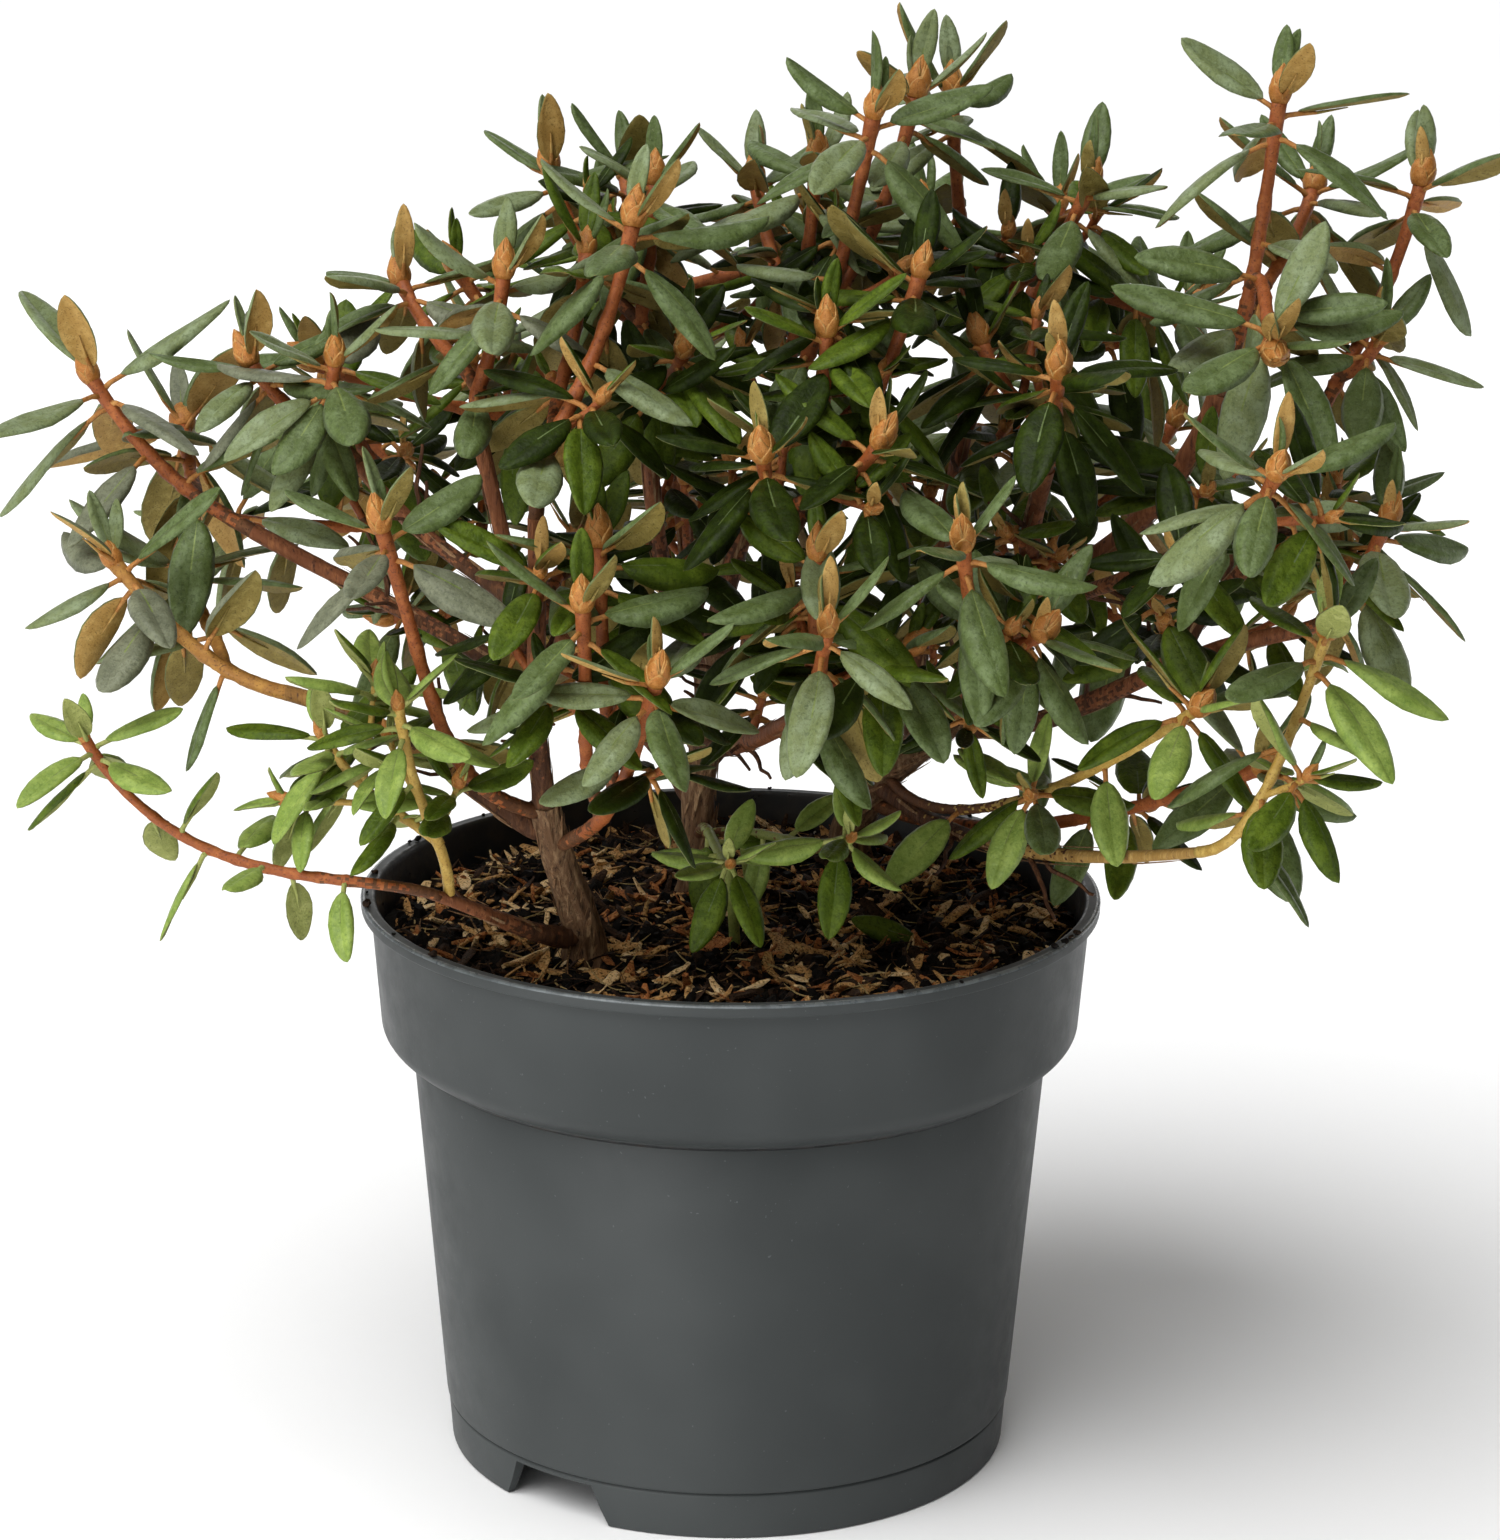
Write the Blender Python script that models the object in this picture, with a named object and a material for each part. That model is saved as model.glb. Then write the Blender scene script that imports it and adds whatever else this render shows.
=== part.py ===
"""A dwarf rhododendron standing in its round plastic nursery pot.

The shrub rises from three bare trunks. Boughs part from them, and each bough ends where a mass of
foliage begins. A mass is one stem whose twigs each end in a whorl of oblong leaves round a pointed bud.
Sizes are in millimetres, turned into metres where a mesh is made. X runs across the plant, Y to its
back, Z up. The origin is on the pot's axis at the ground.
"""

import math
import random

import bmesh
import bpy
from mathutils import Matrix, Vector
from mathutils.bvhtree import BVHTree

MM = 0.001
GAP = 0.3
UP = Vector((0.0, 0.0, 1.0))
ORIGIN = Vector((0.0, 0.0, 0.0))
SHARP_ANGLE = math.radians(50.0)

# Pot
RIM_RADIUS = 95.0
RIM_TOP = 148.0
LIP_DEPTH = 3.0
COLLAR_RADIUS = 92.3
COLLAR_FOOT_RADIUS = 89.8
COLLAR_FOOT = 112.5
STEP_FOOT = 105.5
BODY_RADIUS = 82.1
BODY_FOOT_RADIUS = 74.0
FOOT_HEIGHT = 12.2
FOOT_RADIUS = 72.7
FOOT_WIDTH = 2.2
POT_WALL = 1.6
FLOOR_TOP = 13.6
FLOOR_CORNER = 3.0
POT_SIDES = 36
NOTCH_TURNS = (-37.0, 143.0)
NOTCH_HALF_FOOT = 14.0
NOTCH_HALF_TOP = 9.5
NOTCH_HEIGHT = 10.6

# Soil
SOIL_TOP = 140.0
SOIL_FLAT_RADIUS = 66.0
SOIL_EDGE_DROP = 3.0

# Limbs
TRUNK_SIDES = 8
BOUGH_SIDES = 6
TRUNK_RINGS = 7
BOUGH_RINGS = 5
FLARE = 0.45
FLARE_HEIGHT = 5.6
WAY_SHARE = 0.3
FORK_ALONG = 0.6
FORK_OUT = 0.8
SEAT_START = 0.8
SEAT_STEP = 0.1
STUB_LENGTH = 3.0
BEND_SHIFTS = (4.0, 8.0, 12.0, 17.0)

# Twigs, buds and leaves
STEM_FORM = (3, 5)
TWIG_FORM = (3, 4)
STEM_RADII = (1.9, 1.5)
TWIG_RADII = (1.7, 1.5)
BUD_RADIUS = 3.2
BUD_LENGTH = 11.0
BUD_SHOULDER = 0.38 * BUD_LENGTH
WHORL_DEPTH = 9.0
LEAF_TURN = math.radians(137.5)
OUTER_OPENING = math.radians(98.0)
INNER_OPENING = math.radians(34.0)
INNER_LENGTH = 0.74
END_WHORL_LEAVES = 6
SIDE_WHORL_LEAVES = 5
WHORL_UP = 0.8
LEAF_WIDTH = 0.48
LEAF_OUTLINE = ((0.0, 0.0), (0.32, 0.43), (0.74, 0.43), (1.0, 0.0), (0.74, -0.43), (0.32, -0.43))
KEEL_PLACE = 0.5
LEAF_THICK = 1.3
STEM_LEAF_OPENING = math.radians(68.0)
STEM_LEAF_LENGTH = 0.85
STEM_LEAF_START = 0.3
STEM_LEAF_SPAN = 0.5
STEM_BEND = (0.62, 0.36)
TWIG_BEND = (0.62, 0.3)
FIRST_FORK = 0.34
FORK_STEP = 0.16
LEAF_TRIES = 7
LEAF_SWING = math.radians(15.0)
LEAF_TILT = math.radians(10.5)
SEED = 31

# The crown's own space, which no leaf leaves
CROWN_HALF_WIDTH = 186.5
CROWN_HALF_DEPTH = 141.5
CROWN_TOP = 377.0
CROWN_FOOT = SOIL_TOP + 4.0

# Trunk: foot (across, deep), top (across, deep, up), share of the way out and up at its bend,
# radius above the flare, radius at the top
TRUNKS = {
    "trunk_left": ((-36, -38), (-45, -57, 187), (0.6, 0.45), 4.8, 3.7),
    "trunk_middle": ((-9, 21), (-4, 2, 214), (0.2, 0.5), 4.6, 3.4),
    "trunk_right": ((31, 51), (64, 16, 196), (0.35, 0.5), 5.2, 4.0),
}

# Bough: limb it grows from, share of the way along it, tip (across, deep, up),
# share of the way out and up at its bend, radius at its foot, radius at its tip
BOUGHS = {
    "bough_left_low": ("trunk_left", 0.24, (-71, -72, 168), (0.5, 0.5), 2.7, 2.2),
    "bough_left_middle": ("trunk_left", 0.90, (-108, -56, 214), (0.45, 0.75), 2.5, 2.0),
    "bough_left_tall": ("trunk_left", 1.0, (-46, -75, 262), (0.75, 0.4), 2.6, 2.1),
    "bough_left_up": ("trunk_left", 0.96, (-61, -48, 276), (0.3, 0.5), 2.4, 1.9),
    "bough_left_far": ("bough_left_up", 0.42, (-118, -26, 247), (0.55, 0.55), 2.2, 1.9),
    "bough_left_crown": ("bough_left_up", 0.66, (-92, -32, 266), (0.6, 0.4), 2.0, 1.8),
    "bough_middle_up": ("trunk_middle", 1.0, (13, 0, 282), (0.6, 0.5), 2.8, 2.1),
    "bough_middle_left": ("trunk_middle", 0.95, (-23, -8, 284), (0.7, 0.45), 2.5, 2.0),
    "bough_middle_high": ("trunk_middle", 0.86, (12, -56, 254), (0.55, 0.4), 2.4, 2.0),
    "bough_middle_front": ("trunk_middle", 0.66, (16, -74, 214), (0.5, 0.4), 2.4, 2.0),
    "bough_right_middle": ("trunk_right", 1.0, (76, -34, 266), (0.45, 0.45), 3.1, 2.3),
    "bough_right_front": ("trunk_right", 0.80, (60, -62, 222), (0.5, 0.45), 2.3, 1.9),
    "bough_right_tall": ("trunk_right", 0.94, (118, -28, 284), (0.7, 0.35), 3.2, 2.4),
    "bough_right_out": ("bough_right_tall", 0.48, (113, -76, 258), (0.5, 0.4), 2.1, 1.8),
    "bough_right_far": ("trunk_right", 0.88, (141, -18, 222), (0.5, 0.65), 2.7, 2.0),
    "bough_right_up": ("bough_right_far", 0.74, (143, -8, 266), (0.75, 0.4), 2.2, 1.9),
    "bough_right_low": ("trunk_right", 0.52, (112, -84, 184), (0.6, 0.1), 2.4, 2.0),
    "bough_right_back": ("trunk_right", 0.74, (60, 24, 272), (0.5, 0.5), 2.6, 2.1),
    "bough_back_left": ("trunk_middle", 0.42, (-56, 66, 212), (0.55, 0.4), 2.6, 2.0),
    "bough_back_middle": ("trunk_middle", 0.80, (-16, 62, 254), (0.6, 0.4), 2.6, 2.0),
    "bough_back_right": ("trunk_right", 0.62, (84, 84, 216), (0.55, 0.4), 2.6, 2.0),
}

# Mass: limb it grows from, share of the way along it, leaf length, leaves along its stem, and its shoots.
# The first shoot ends the stem. Shoot: tip (across, deep, up), turn of its lowest leaf, where 0 looks
# left and 90 to the front
MASSES = {
    "foliage_left_whip": ("bough_left_low", 1.0, 27, 6, ((-156, -58, 202, 0),)),
    "foliage_left_low": ("bough_left_low", 0.95, 27, 1, ((-78, -88, 219, 80), (-98, -66, 206, 20))),
    "foliage_left_middle": ("bough_left_middle", 1.0, 30, 2, ((-150, -41, 242, 330), (-136, -16, 236, 30))),
    "foliage_left_front": ("trunk_left", 0.99, 29, 2, ((-81, -92, 263, 20),)),
    "foliage_left_far": ("bough_left_far", 1.0, 33, 3, ((-159, -8, 281, 355), (-141, 26, 262, 300))),
    "foliage_left_crown": ("bough_left_crown", 1.0, 28, 1, ((-118, -22, 288, 10), (-96, -40, 292, 60))),
    "foliage_left_inner": ("bough_left_up", 1.0, 28, 1, ((-55, -44, 314, 40), (-82, -8, 306, 10))),
    "foliage_front_tall": ("bough_left_tall", 1.0, 31, 3, ((-24, -52, 328, 20), (-36, -24, 316, 300))),
    "foliage_front_low": (
        "trunk_left", 0.86, 28, 1,
        ((-17, -112, 232, 60), (-34, -106, 248, 10), (-31, -84, 258, 150)),
    ),
    "foliage_low_front": ("trunk_middle", 0.30, 24, 1, ((0, -58, 172, 70), (29, -62, 180, 100))),
    "foliage_middle_front": (
        "bough_middle_front", 1.0, 28, 2,
        ((22, -111, 244, 90), (20, -88, 256, 0), (42, -80, 232, 130)),
    ),
    "foliage_middle_high": ("bough_middle_high", 1.0, 27, 1, ((7, -89, 280, 40), (34, -80, 281, 140))),
    "foliage_middle_upper": ("bough_middle_high", 0.93, 29, 1, ((44, -50, 316, 40), (22, -56, 303, 70))),
    "foliage_top_middle": ("bough_middle_up", 1.0, 28, 1, ((20, 2, 335, 120), (5, 32, 325, 260))),
    "foliage_top_front": ("bough_middle_up", 0.94, 30, 2, ((33, -30, 351, 10), (44, 0, 352, 80))),
    "foliage_top_left": (
        "bough_middle_left", 1.0, 28, 1,
        ((-20, 0, 330, 60), (-46, 12, 331, 350), (-28, 34, 326, 280)),
    ),
    "foliage_inner_front": ("bough_middle_left", 0.94, 26, 1, ((-12, -50, 297, 70),)),
    "foliage_right_front": ("bough_right_front", 1.0, 28, 1, ((53, -106, 263, 100), (72, -92, 239, 160))),
    "foliage_right_inner": ("bough_right_middle", 1.0, 28, 1, ((76, -72, 297, 150), (60, -30, 296, 60))),
    "foliage_right_tall": (
        "bough_right_tall", 1.0, 31, 3,
        ((131, -20, 354, 10), (145, 22, 326, 200), (127, -62, 301, 70)),
    ),
    "foliage_right_out": ("bough_right_out", 1.0, 31, 1, ((123, -114, 282, 20),)),
    "foliage_right_far": ("bough_right_far", 1.0, 29, 2, ((161, -24, 251, 170), (156, 22, 244, 210))),
    "foliage_right_upper": ("bough_right_up", 1.0, 29, 3, ((170, 8, 330, 180), (159, -10, 294, 120))),
    "foliage_right_arc": ("bough_right_low", 1.0, 29, 4, ((138, -98, 241, 120),)),
    "foliage_right_low": ("trunk_right", 0.58, 28, 2, ((110, -84, 219, 20),)),
    "foliage_right_side": ("trunk_right", 0.40, 28, 2, ((129, -50, 195, 140),)),
    "foliage_right_crown": (
        "bough_right_back", 1.0, 29, 1,
        ((54, 26, 349, 40), (87, 4, 328, 160), (107, 12, 296, 110)),
    ),
    "foliage_right_back": (
        "bough_right_back", 0.94, 29, 1,
        ((84, 66, 314, 240), (118, 50, 292, 200), (50, 72, 312, 280)),
    ),
    "foliage_back_left": (
        "bough_back_left", 1.0, 30, 2,
        ((-98, 88, 246, 330), (-66, 110, 268, 270), (-134, 54, 232, 0), (-104, 42, 268, 300)),
    ),
    "foliage_back_left_low": (
        "bough_back_left", 0.93, 29, 1,
        ((-44, 112, 214, 270), (-92, 76, 200, 330), (-8, 108, 226, 230)),
    ),
    "foliage_back_middle": (
        "bough_back_middle", 1.0, 29, 2,
        ((-34, 84, 304, 300), (18, 88, 298, 250), (-12, 114, 262, 270), (22, 54, 312, 200)),
    ),
    "foliage_back_crown": ("bough_back_middle", 0.94, 29, 1, ((-72, 54, 298, 330), (-106, 20, 280, 10))),
    "foliage_back_right": (
        "bough_back_right", 1.0, 30, 2,
        ((118, 90, 252, 220), (66, 110, 266, 260), (148, 58, 236, 190)),
    ),
    "foliage_back_right_low": (
        "bough_back_right", 0.93, 29, 1,
        ((54, 114, 216, 260), (108, 74, 198, 210), (24, 106, 244, 290)),
    ),
}
# The shoot that trails over the rim runs out flat before it turns up
LONG_BENDS = {"foliage_left_whip": (0.72, 0.02)}


def clear_scene():
    for obj in list(bpy.data.objects):
        bpy.data.objects.remove(obj)


def plain_material(name, colour, roughness):
    material = bpy.data.materials.new(name)
    material.use_nodes = True
    shader = material.node_tree.nodes["Principled BSDF"]
    shader.inputs["Base Color"].default_value = (*colour, 1.0)
    shader.inputs["Roughness"].default_value = roughness
    shader.inputs["Metallic"].default_value = 0.0
    return material


def mesh_object(name, points, faces, material, smooth=False, collection=None):
    """One object from points in millimetres."""
    mesh = bpy.data.meshes.new(name)
    mesh.from_pydata([Vector(point) * MM for point in points], [], faces)
    mesh.materials.append(material)
    if smooth:
        mesh.shade_smooth()
        mesh.set_sharp_from_angle(angle=SHARP_ANGLE)
    obj = bpy.data.objects.new(name, mesh)
    (collection or bpy.context.scene.collection).objects.link(obj)
    return obj


def turned(name, profile, material):
    """A solid turned round the Z axis from (radius, height) pairs, run down the outer side."""
    mesh = bpy.data.meshes.new(name)
    points = [Vector((radius, 0.0, height)) * MM for radius, height in profile]
    edges = [(step, step + 1) for step in range(len(points) - 1)]
    mesh.from_pydata(points, edges, [])
    mesh.materials.append(material)
    obj = bpy.data.objects.new(name, mesh)
    bpy.context.scene.collection.objects.link(obj)
    screw = obj.modifiers.new("turn", "SCREW")
    screw.axis = "Z"
    screw.steps = POT_SIDES
    screw.render_steps = POT_SIDES
    screw.use_merge_vertices = True
    screw.merge_threshold = 0.00005
    screw.use_normal_calculate = True
    return obj


def pot_profile():
    """The outer side from the middle of the floor's top over the rim to the middle of its underside."""
    wall = POT_WALL
    inner = [
        (0.0, FLOOR_TOP),
        (BODY_FOOT_RADIUS - wall - FLOOR_CORNER, FLOOR_TOP),
        (BODY_FOOT_RADIUS - wall, FLOOR_TOP + FLOOR_CORNER),
        (BODY_RADIUS - wall, STEP_FOOT),
        (COLLAR_FOOT_RADIUS - wall, COLLAR_FOOT),
        (COLLAR_RADIUS - wall, RIM_TOP - 1.0),
        (COLLAR_RADIUS - wall + 1.0, RIM_TOP),
    ]
    rim = [
        (RIM_RADIUS - 0.6, RIM_TOP),
        (RIM_RADIUS, RIM_TOP - 0.6),
        (RIM_RADIUS - 0.3, RIM_TOP - LIP_DEPTH),
        (COLLAR_RADIUS, RIM_TOP - LIP_DEPTH - 0.4),
    ]
    outer = [
        (COLLAR_FOOT_RADIUS, COLLAR_FOOT + 1.5),
        (COLLAR_FOOT_RADIUS - 1.6, COLLAR_FOOT - 2.0),
        (BODY_RADIUS + 1.4, STEP_FOOT + 0.8),
        (BODY_RADIUS, STEP_FOOT - 1.6),
        (BODY_FOOT_RADIUS, FOOT_HEIGHT + 0.5),
        (BODY_FOOT_RADIUS - 0.8, FOOT_HEIGHT),
        (BODY_FOOT_RADIUS - 0.4, FOOT_HEIGHT - 0.6),
        (FOOT_RADIUS, 0.0),
    ]
    under = [
        (FOOT_RADIUS - FOOT_WIDTH, 0.0),
        (FOOT_RADIUS - FOOT_WIDTH - 0.6, FLOOR_TOP - POT_WALL - 1.0),
        (FOOT_RADIUS - FOOT_WIDTH - 1.6, FLOOR_TOP - POT_WALL),
        (0.0, FLOOR_TOP - POT_WALL),
    ]
    return inner + rim + outer + under


def notch_cutter(turn):
    """A wedge through the foot ring, wider at the ground."""
    inside, outside = FOOT_RADIUS - 8.0, FOOT_RADIUS + 8.0
    points = []
    for radius in (inside, outside):
        for half, height in ((NOTCH_HALF_FOOT, -2.0), (NOTCH_HALF_TOP, NOTCH_HEIGHT)):
            for side in (-1, 1):
                angle = math.radians(turn + side * half - 90.0)
                points.append((radius * math.cos(angle), radius * math.sin(angle), height))
    faces = [(0, 1, 3, 2), (4, 6, 7, 5), (0, 4, 5, 1), (2, 3, 7, 6), (0, 2, 6, 4), (1, 5, 7, 3)]
    cutter = mesh_object(f"cutter_notch_{turn:.0f}", points, faces, bpy.data.materials["pot_plastic"])
    outward(cutter.data)
    cutter.hide_render = True
    cutter.display_type = "WIRE"
    return cutter


def outward(mesh):
    """Turns every face of a closed mesh outwards."""
    shape = bmesh.new()
    shape.from_mesh(mesh)
    bmesh.ops.recalc_face_normals(shape, faces=shape.faces)
    shape.to_mesh(mesh)
    shape.free()


def make_pot(material):
    pot = turned("pot", pot_profile(), material)
    for turn in NOTCH_TURNS:
        cut = pot.modifiers.new("notch", "BOOLEAN")
        cut.operation = "DIFFERENCE"
        cut.object = notch_cutter(turn)
    return pot


def make_soil(material):
    """The root ball of peat, which fills the pot up to a low crown."""
    body = POT_WALL + GAP
    profile = [
        (0.0, SOIL_TOP),
        (SOIL_FLAT_RADIUS, SOIL_TOP),
        (COLLAR_FOOT_RADIUS - body + 1.6, SOIL_TOP - SOIL_EDGE_DROP),
        (COLLAR_FOOT_RADIUS - body, COLLAR_FOOT),
        (BODY_RADIUS - body, STEP_FOOT),
        (BODY_FOOT_RADIUS - body, FLOOR_TOP + FLOOR_CORNER + GAP),
        (BODY_FOOT_RADIUS - body - FLOOR_CORNER, FLOOR_TOP + GAP),
        (0.0, FLOOR_TOP + GAP),
    ]
    return turned("soil", profile, material)


class Path:
    """A smooth line from a foot to a tip, with a radius that runs from one end to the other.

    It leaves along its way and turns through one bend. Its foot is cut square to the cut direction.
    """

    def __init__(self, foot, end, bend, radii, shift=ORIGIN):
        self.start, self.cut, way = foot
        self.end = Vector(end)
        out, rise = bend
        span = self.end - self.start
        self.first = self.start + way * span.length * WAY_SHARE
        self.second = self.start + Vector((span.x * out, span.y * out, span.z * rise)) + shift
        self.radii = radii

    def point(self, along):
        back = 1.0 - along
        return (
            self.start * back**3
            + self.first * 3 * back**2 * along
            + self.second * 3 * back * along**2
            + self.end * along**3
        )

    def inside(self, along, rings):
        """The middle of the tube there, which runs straight from ring to ring."""
        place = along * (rings - 1)
        low = min(int(place), rings - 2)
        low_point, high_point = self.point(low / (rings - 1)), self.point((low + 1) / (rings - 1))
        return low_point.lerp(high_point, place - low)

    def heading(self, along):
        back = 1.0 - along
        return (
            (self.first - self.start) * back**2
            + (self.second - self.first) * 2 * back * along
            + (self.end - self.second) * along**2
        ).normalized()

    def radius(self, along):
        return self.radii[0] + (self.radii[1] - self.radii[0]) * along

    def tube(self, sides, rings, flare=0.0, bud=False, grow=0.0):
        """Points and faces of a closed tapering tube. A bud swells at its end and comes to a point."""
        points = []
        for ring in range(rings):
            along = ring / (rings - 1)
            centre = self.point(along)
            heading = self.heading(along) if ring else self.cut
            radius = self.radius(along) + grow
            radius *= 1.0 + flare * math.exp((self.start.z - centre.z) / FLARE_HEIGHT)
            points += ring_points(centre, heading, radius, sides)
        if bud:
            heading = self.heading(1.0)
            points += ring_points(self.end + heading * BUD_SHOULDER, heading, BUD_RADIUS, sides)
            points.append(self.end + heading * BUD_LENGTH)
            rings += 1
        return points, tube_faces(sides, rings, pointed=bud)


def ring_points(centre, heading, radius, sides):
    across = heading.cross(Vector((0.0, 1.0, 0.0)))
    across = across.normalized() if across.length > 0.1 else Vector((1.0, 0.0, 0.0))
    deep = heading.cross(across)
    steps = [2 * math.pi * side / sides for side in range(sides)]
    return [centre + radius * (math.cos(turn) * across + math.sin(turn) * deep) for turn in steps]


def tube_faces(sides, rings, pointed):
    faces = [tuple(range(sides - 1, -1, -1))]
    for ring in range(rings - 1):
        low, high = ring * sides, (ring + 1) * sides
        for side in range(sides):
            after = (side + 1) % sides
            faces.append((low + side, low + after, high + after))
            faces.append((low + side, high + after, high + side))
    last = (rings - 1) * sides
    if pointed:
        tip = last + sides
        faces += [(last + side, last + (side + 1) % sides, tip) for side in range(sides)]
    else:
        faces.append(tuple(range(last, last + sides)))
    return faces


def leaf_solid(base, heading, face, length):
    """A closed oblong blade, flat above and keeled below, whose foot is a point."""
    side = heading.cross(face).normalized()
    half = length * LEAF_WIDTH
    points = [base + heading * length * along + side * half * across for along, across in LEAF_OUTLINE]
    points.append(base + heading * length * KEEL_PLACE - face * LEAF_THICK)
    corners = len(LEAF_OUTLINE)
    faces = [tuple(range(corners))]
    faces += [((corner + 1) % corners, corner, corners) for corner in range(corners)]
    return points, faces


def leaf_room(base, heading, face, length):
    """A slightly larger solid round the same leaf, raised in its middle, for telling if it has room."""
    side = heading.cross(face).normalized()
    half = length * LEAF_WIDTH + GAP
    reach = length + GAP
    points = [base + heading * reach * along + side * half * across for along, across in LEAF_OUTLINE]
    centre = base + heading * reach * KEEL_PLACE
    points += [centre - face * (LEAF_THICK + GAP), centre + face * 3 * GAP]
    corners = len(LEAF_OUTLINE)
    faces = [((corner + 1) % corners, corner, corners) for corner in range(corners)]
    faces += [(corner, (corner + 1) % corners, corners + 1) for corner in range(corners)]
    return points, faces


class Space:
    """Keeps each finished solid under its owner's name, and tells what a new one would touch."""

    def __init__(self):
        self.kept = []

    def add(self, owner, solid):
        self.kept.append((owner, BVHTree.FromPolygons(*solid)))

    def touched(self, solid, but=()):
        tree = BVHTree.FromPolygons(*solid)
        return [owner for owner, other in self.kept if owner not in but and tree.overlap(other)]


def fork_way(parent, along, aim):
    """The side of the parent that looks at the aim, and the way a limb leaves it there."""
    spot, heading = parent.point(along), parent.heading(along)
    out = Vector(aim) - spot
    out = (out - heading * out.dot(heading)).normalized()
    return out, (heading * FORK_ALONG + out * FORK_OUT).normalized()


def seat(space, name, parent, along, aim, radius):
    """The foot of a limb that grows from this spot, just clear of the limb that bears it."""
    spot, heading = parent.point(along), parent.heading(along)
    if along >= 1.0:
        return spot + heading * GAP, heading, heading
    out, way = fork_way(parent, along, aim)
    others = {owner for owner, _ in space.kept if owner != name}
    reach = parent.radius(along) * SEAT_START
    while True:
        foot = (spot + out * reach, out, way)
        stub = Path(foot, foot[0] + way * STUB_LENGTH, STEM_BEND, (radius, radius))
        if not space.touched(stub.tube(BOUGH_SIDES, 2), but=others):
            return foot[0] + out * GAP, out, way
        reach += SEAT_STEP


def clear_path(space, foot, end, bend, radii, form, but=(), bud=True):
    """The path with the least sideways shift at its bend that keeps it clear of all other solids."""
    heading = (Vector(end) - foot[0]).normalized()
    shifts = [ORIGIN]
    for size in BEND_SHIFTS:
        for step in range(8):
            shifts.append(around(heading, step * math.pi / 4, math.pi / 2) * size)
    for shift in shifts:
        path = Path(foot, end, bend, radii, shift)
        touched = space.touched(path.tube(*form, bud=bud, grow=GAP), but=but)
        if not touched:
            return path
    print("no clear path to", tuple(end), "past", touched)
    return Path(foot, end, bend, radii)


def whorl_axis(path):
    """A shoot's end turns up towards the light."""
    return (path.heading(1.0) + UP * WHORL_UP).normalized()


def around(axis, turn, opening):
    """The direction that leaves the axis by the opening, turned round it."""
    side = axis.cross(Vector((0.0, 1.0, 0.0)))
    side = side.normalized() if side.length > 0.1 else Vector((1.0, 0.0, 0.0))
    side = Matrix.Rotation(turn, 3, axis) @ side
    return (axis * math.cos(opening) + side * math.sin(opening)).normalized()


def leaf_face(axis, heading):
    """The blade's upper side looks along the shoot's axis."""
    return (axis - heading * axis.dot(heading)).normalized()


def inside_crown(points):
    return all(
        abs(point.x) < CROWN_HALF_WIDTH
        and abs(point.y) < CROWN_HALF_DEPTH
        and CROWN_FOOT < point.z < CROWN_TOP
        for point in points
    )


def place_leaf(space, owners, chance, base, axis, turn, opening, length):
    """The leaf's solid if there is room for it, swung a little to find room, or nothing."""
    for attempt in range(LEAF_TRIES):
        share = attempt / 2
        swing, tilt = LEAF_SWING * share, LEAF_TILT * share
        heading = around(
            axis,
            turn + chance.uniform(-swing, swing),
            opening + chance.uniform(-tilt, tilt),
        )
        face = leaf_face(axis, heading)
        room = leaf_room(base, heading, face, length)
        if inside_crown(room[0]) and not space.touched(room, but=owners):
            return leaf_solid(base, heading, face, length)
    return None


def whorl_leaves(path, rings, leaves, length, turn):
    """Foot, axis, turn, opening and length of each leaf of a shoot's whorl, the outer ones first."""
    axis = whorl_axis(path)
    for step in range(leaves):
        share = step / (leaves - 1)
        back = WHORL_DEPTH * (1.0 - share) / (path.end - path.start).length
        yield (
            path.inside(1.0 - back, rings),
            axis,
            math.radians(turn) + LEAF_TURN * step,
            OUTER_OPENING + (INNER_OPENING - OUTER_OPENING) * share,
            length * (1.0 + (INNER_LENGTH - 1.0) * share),
        )


def stem_leaves(path, rings, leaves, length, turn):
    """The same for the leaves along a stem below its whorl."""
    for step in range(leaves):
        along = STEM_LEAF_START + STEM_LEAF_SPAN * (step + 0.5) / leaves
        yield (
            path.inside(along, rings),
            path.heading(along),
            math.radians(turn) + LEAF_TURN * step,
            STEM_LEAF_OPENING,
            length * STEM_LEAF_LENGTH,
        )


def mass_leaves(name, paths, space, number):
    """The solids of one mass's leaves. Those of one whorl may meet at their feet, but no others may."""
    chance = random.Random(SEED + number)
    _, _, length, along_stem, shoots = MASSES[name]
    rounds = []
    for order, (path, shoot) in enumerate(zip(paths, shoots)):
        rings = TWIG_FORM[1] if order else STEM_FORM[1]
        count = SIDE_WHORL_LEAVES if order else END_WHORL_LEAVES
        rounds.append((f"{name} whorl {order}", whorl_leaves(path, rings, count, length, shoot[3])))
    along = stem_leaves(paths[0], STEM_FORM[1], along_stem, length, shoots[0][3])
    rounds.append((f"{name} stem", along))
    solids = []
    wanted = 0
    for owner, leaves in rounds:
        for leaf in leaves:
            wanted += 1
            solid = place_leaf(space, (name, owner), chance, *leaf)
            if solid:
                solids.append(solid)
                space.add(owner, solid)
    print(f"{name}: {len(solids)} of {wanted} leaves")
    return solids


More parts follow.
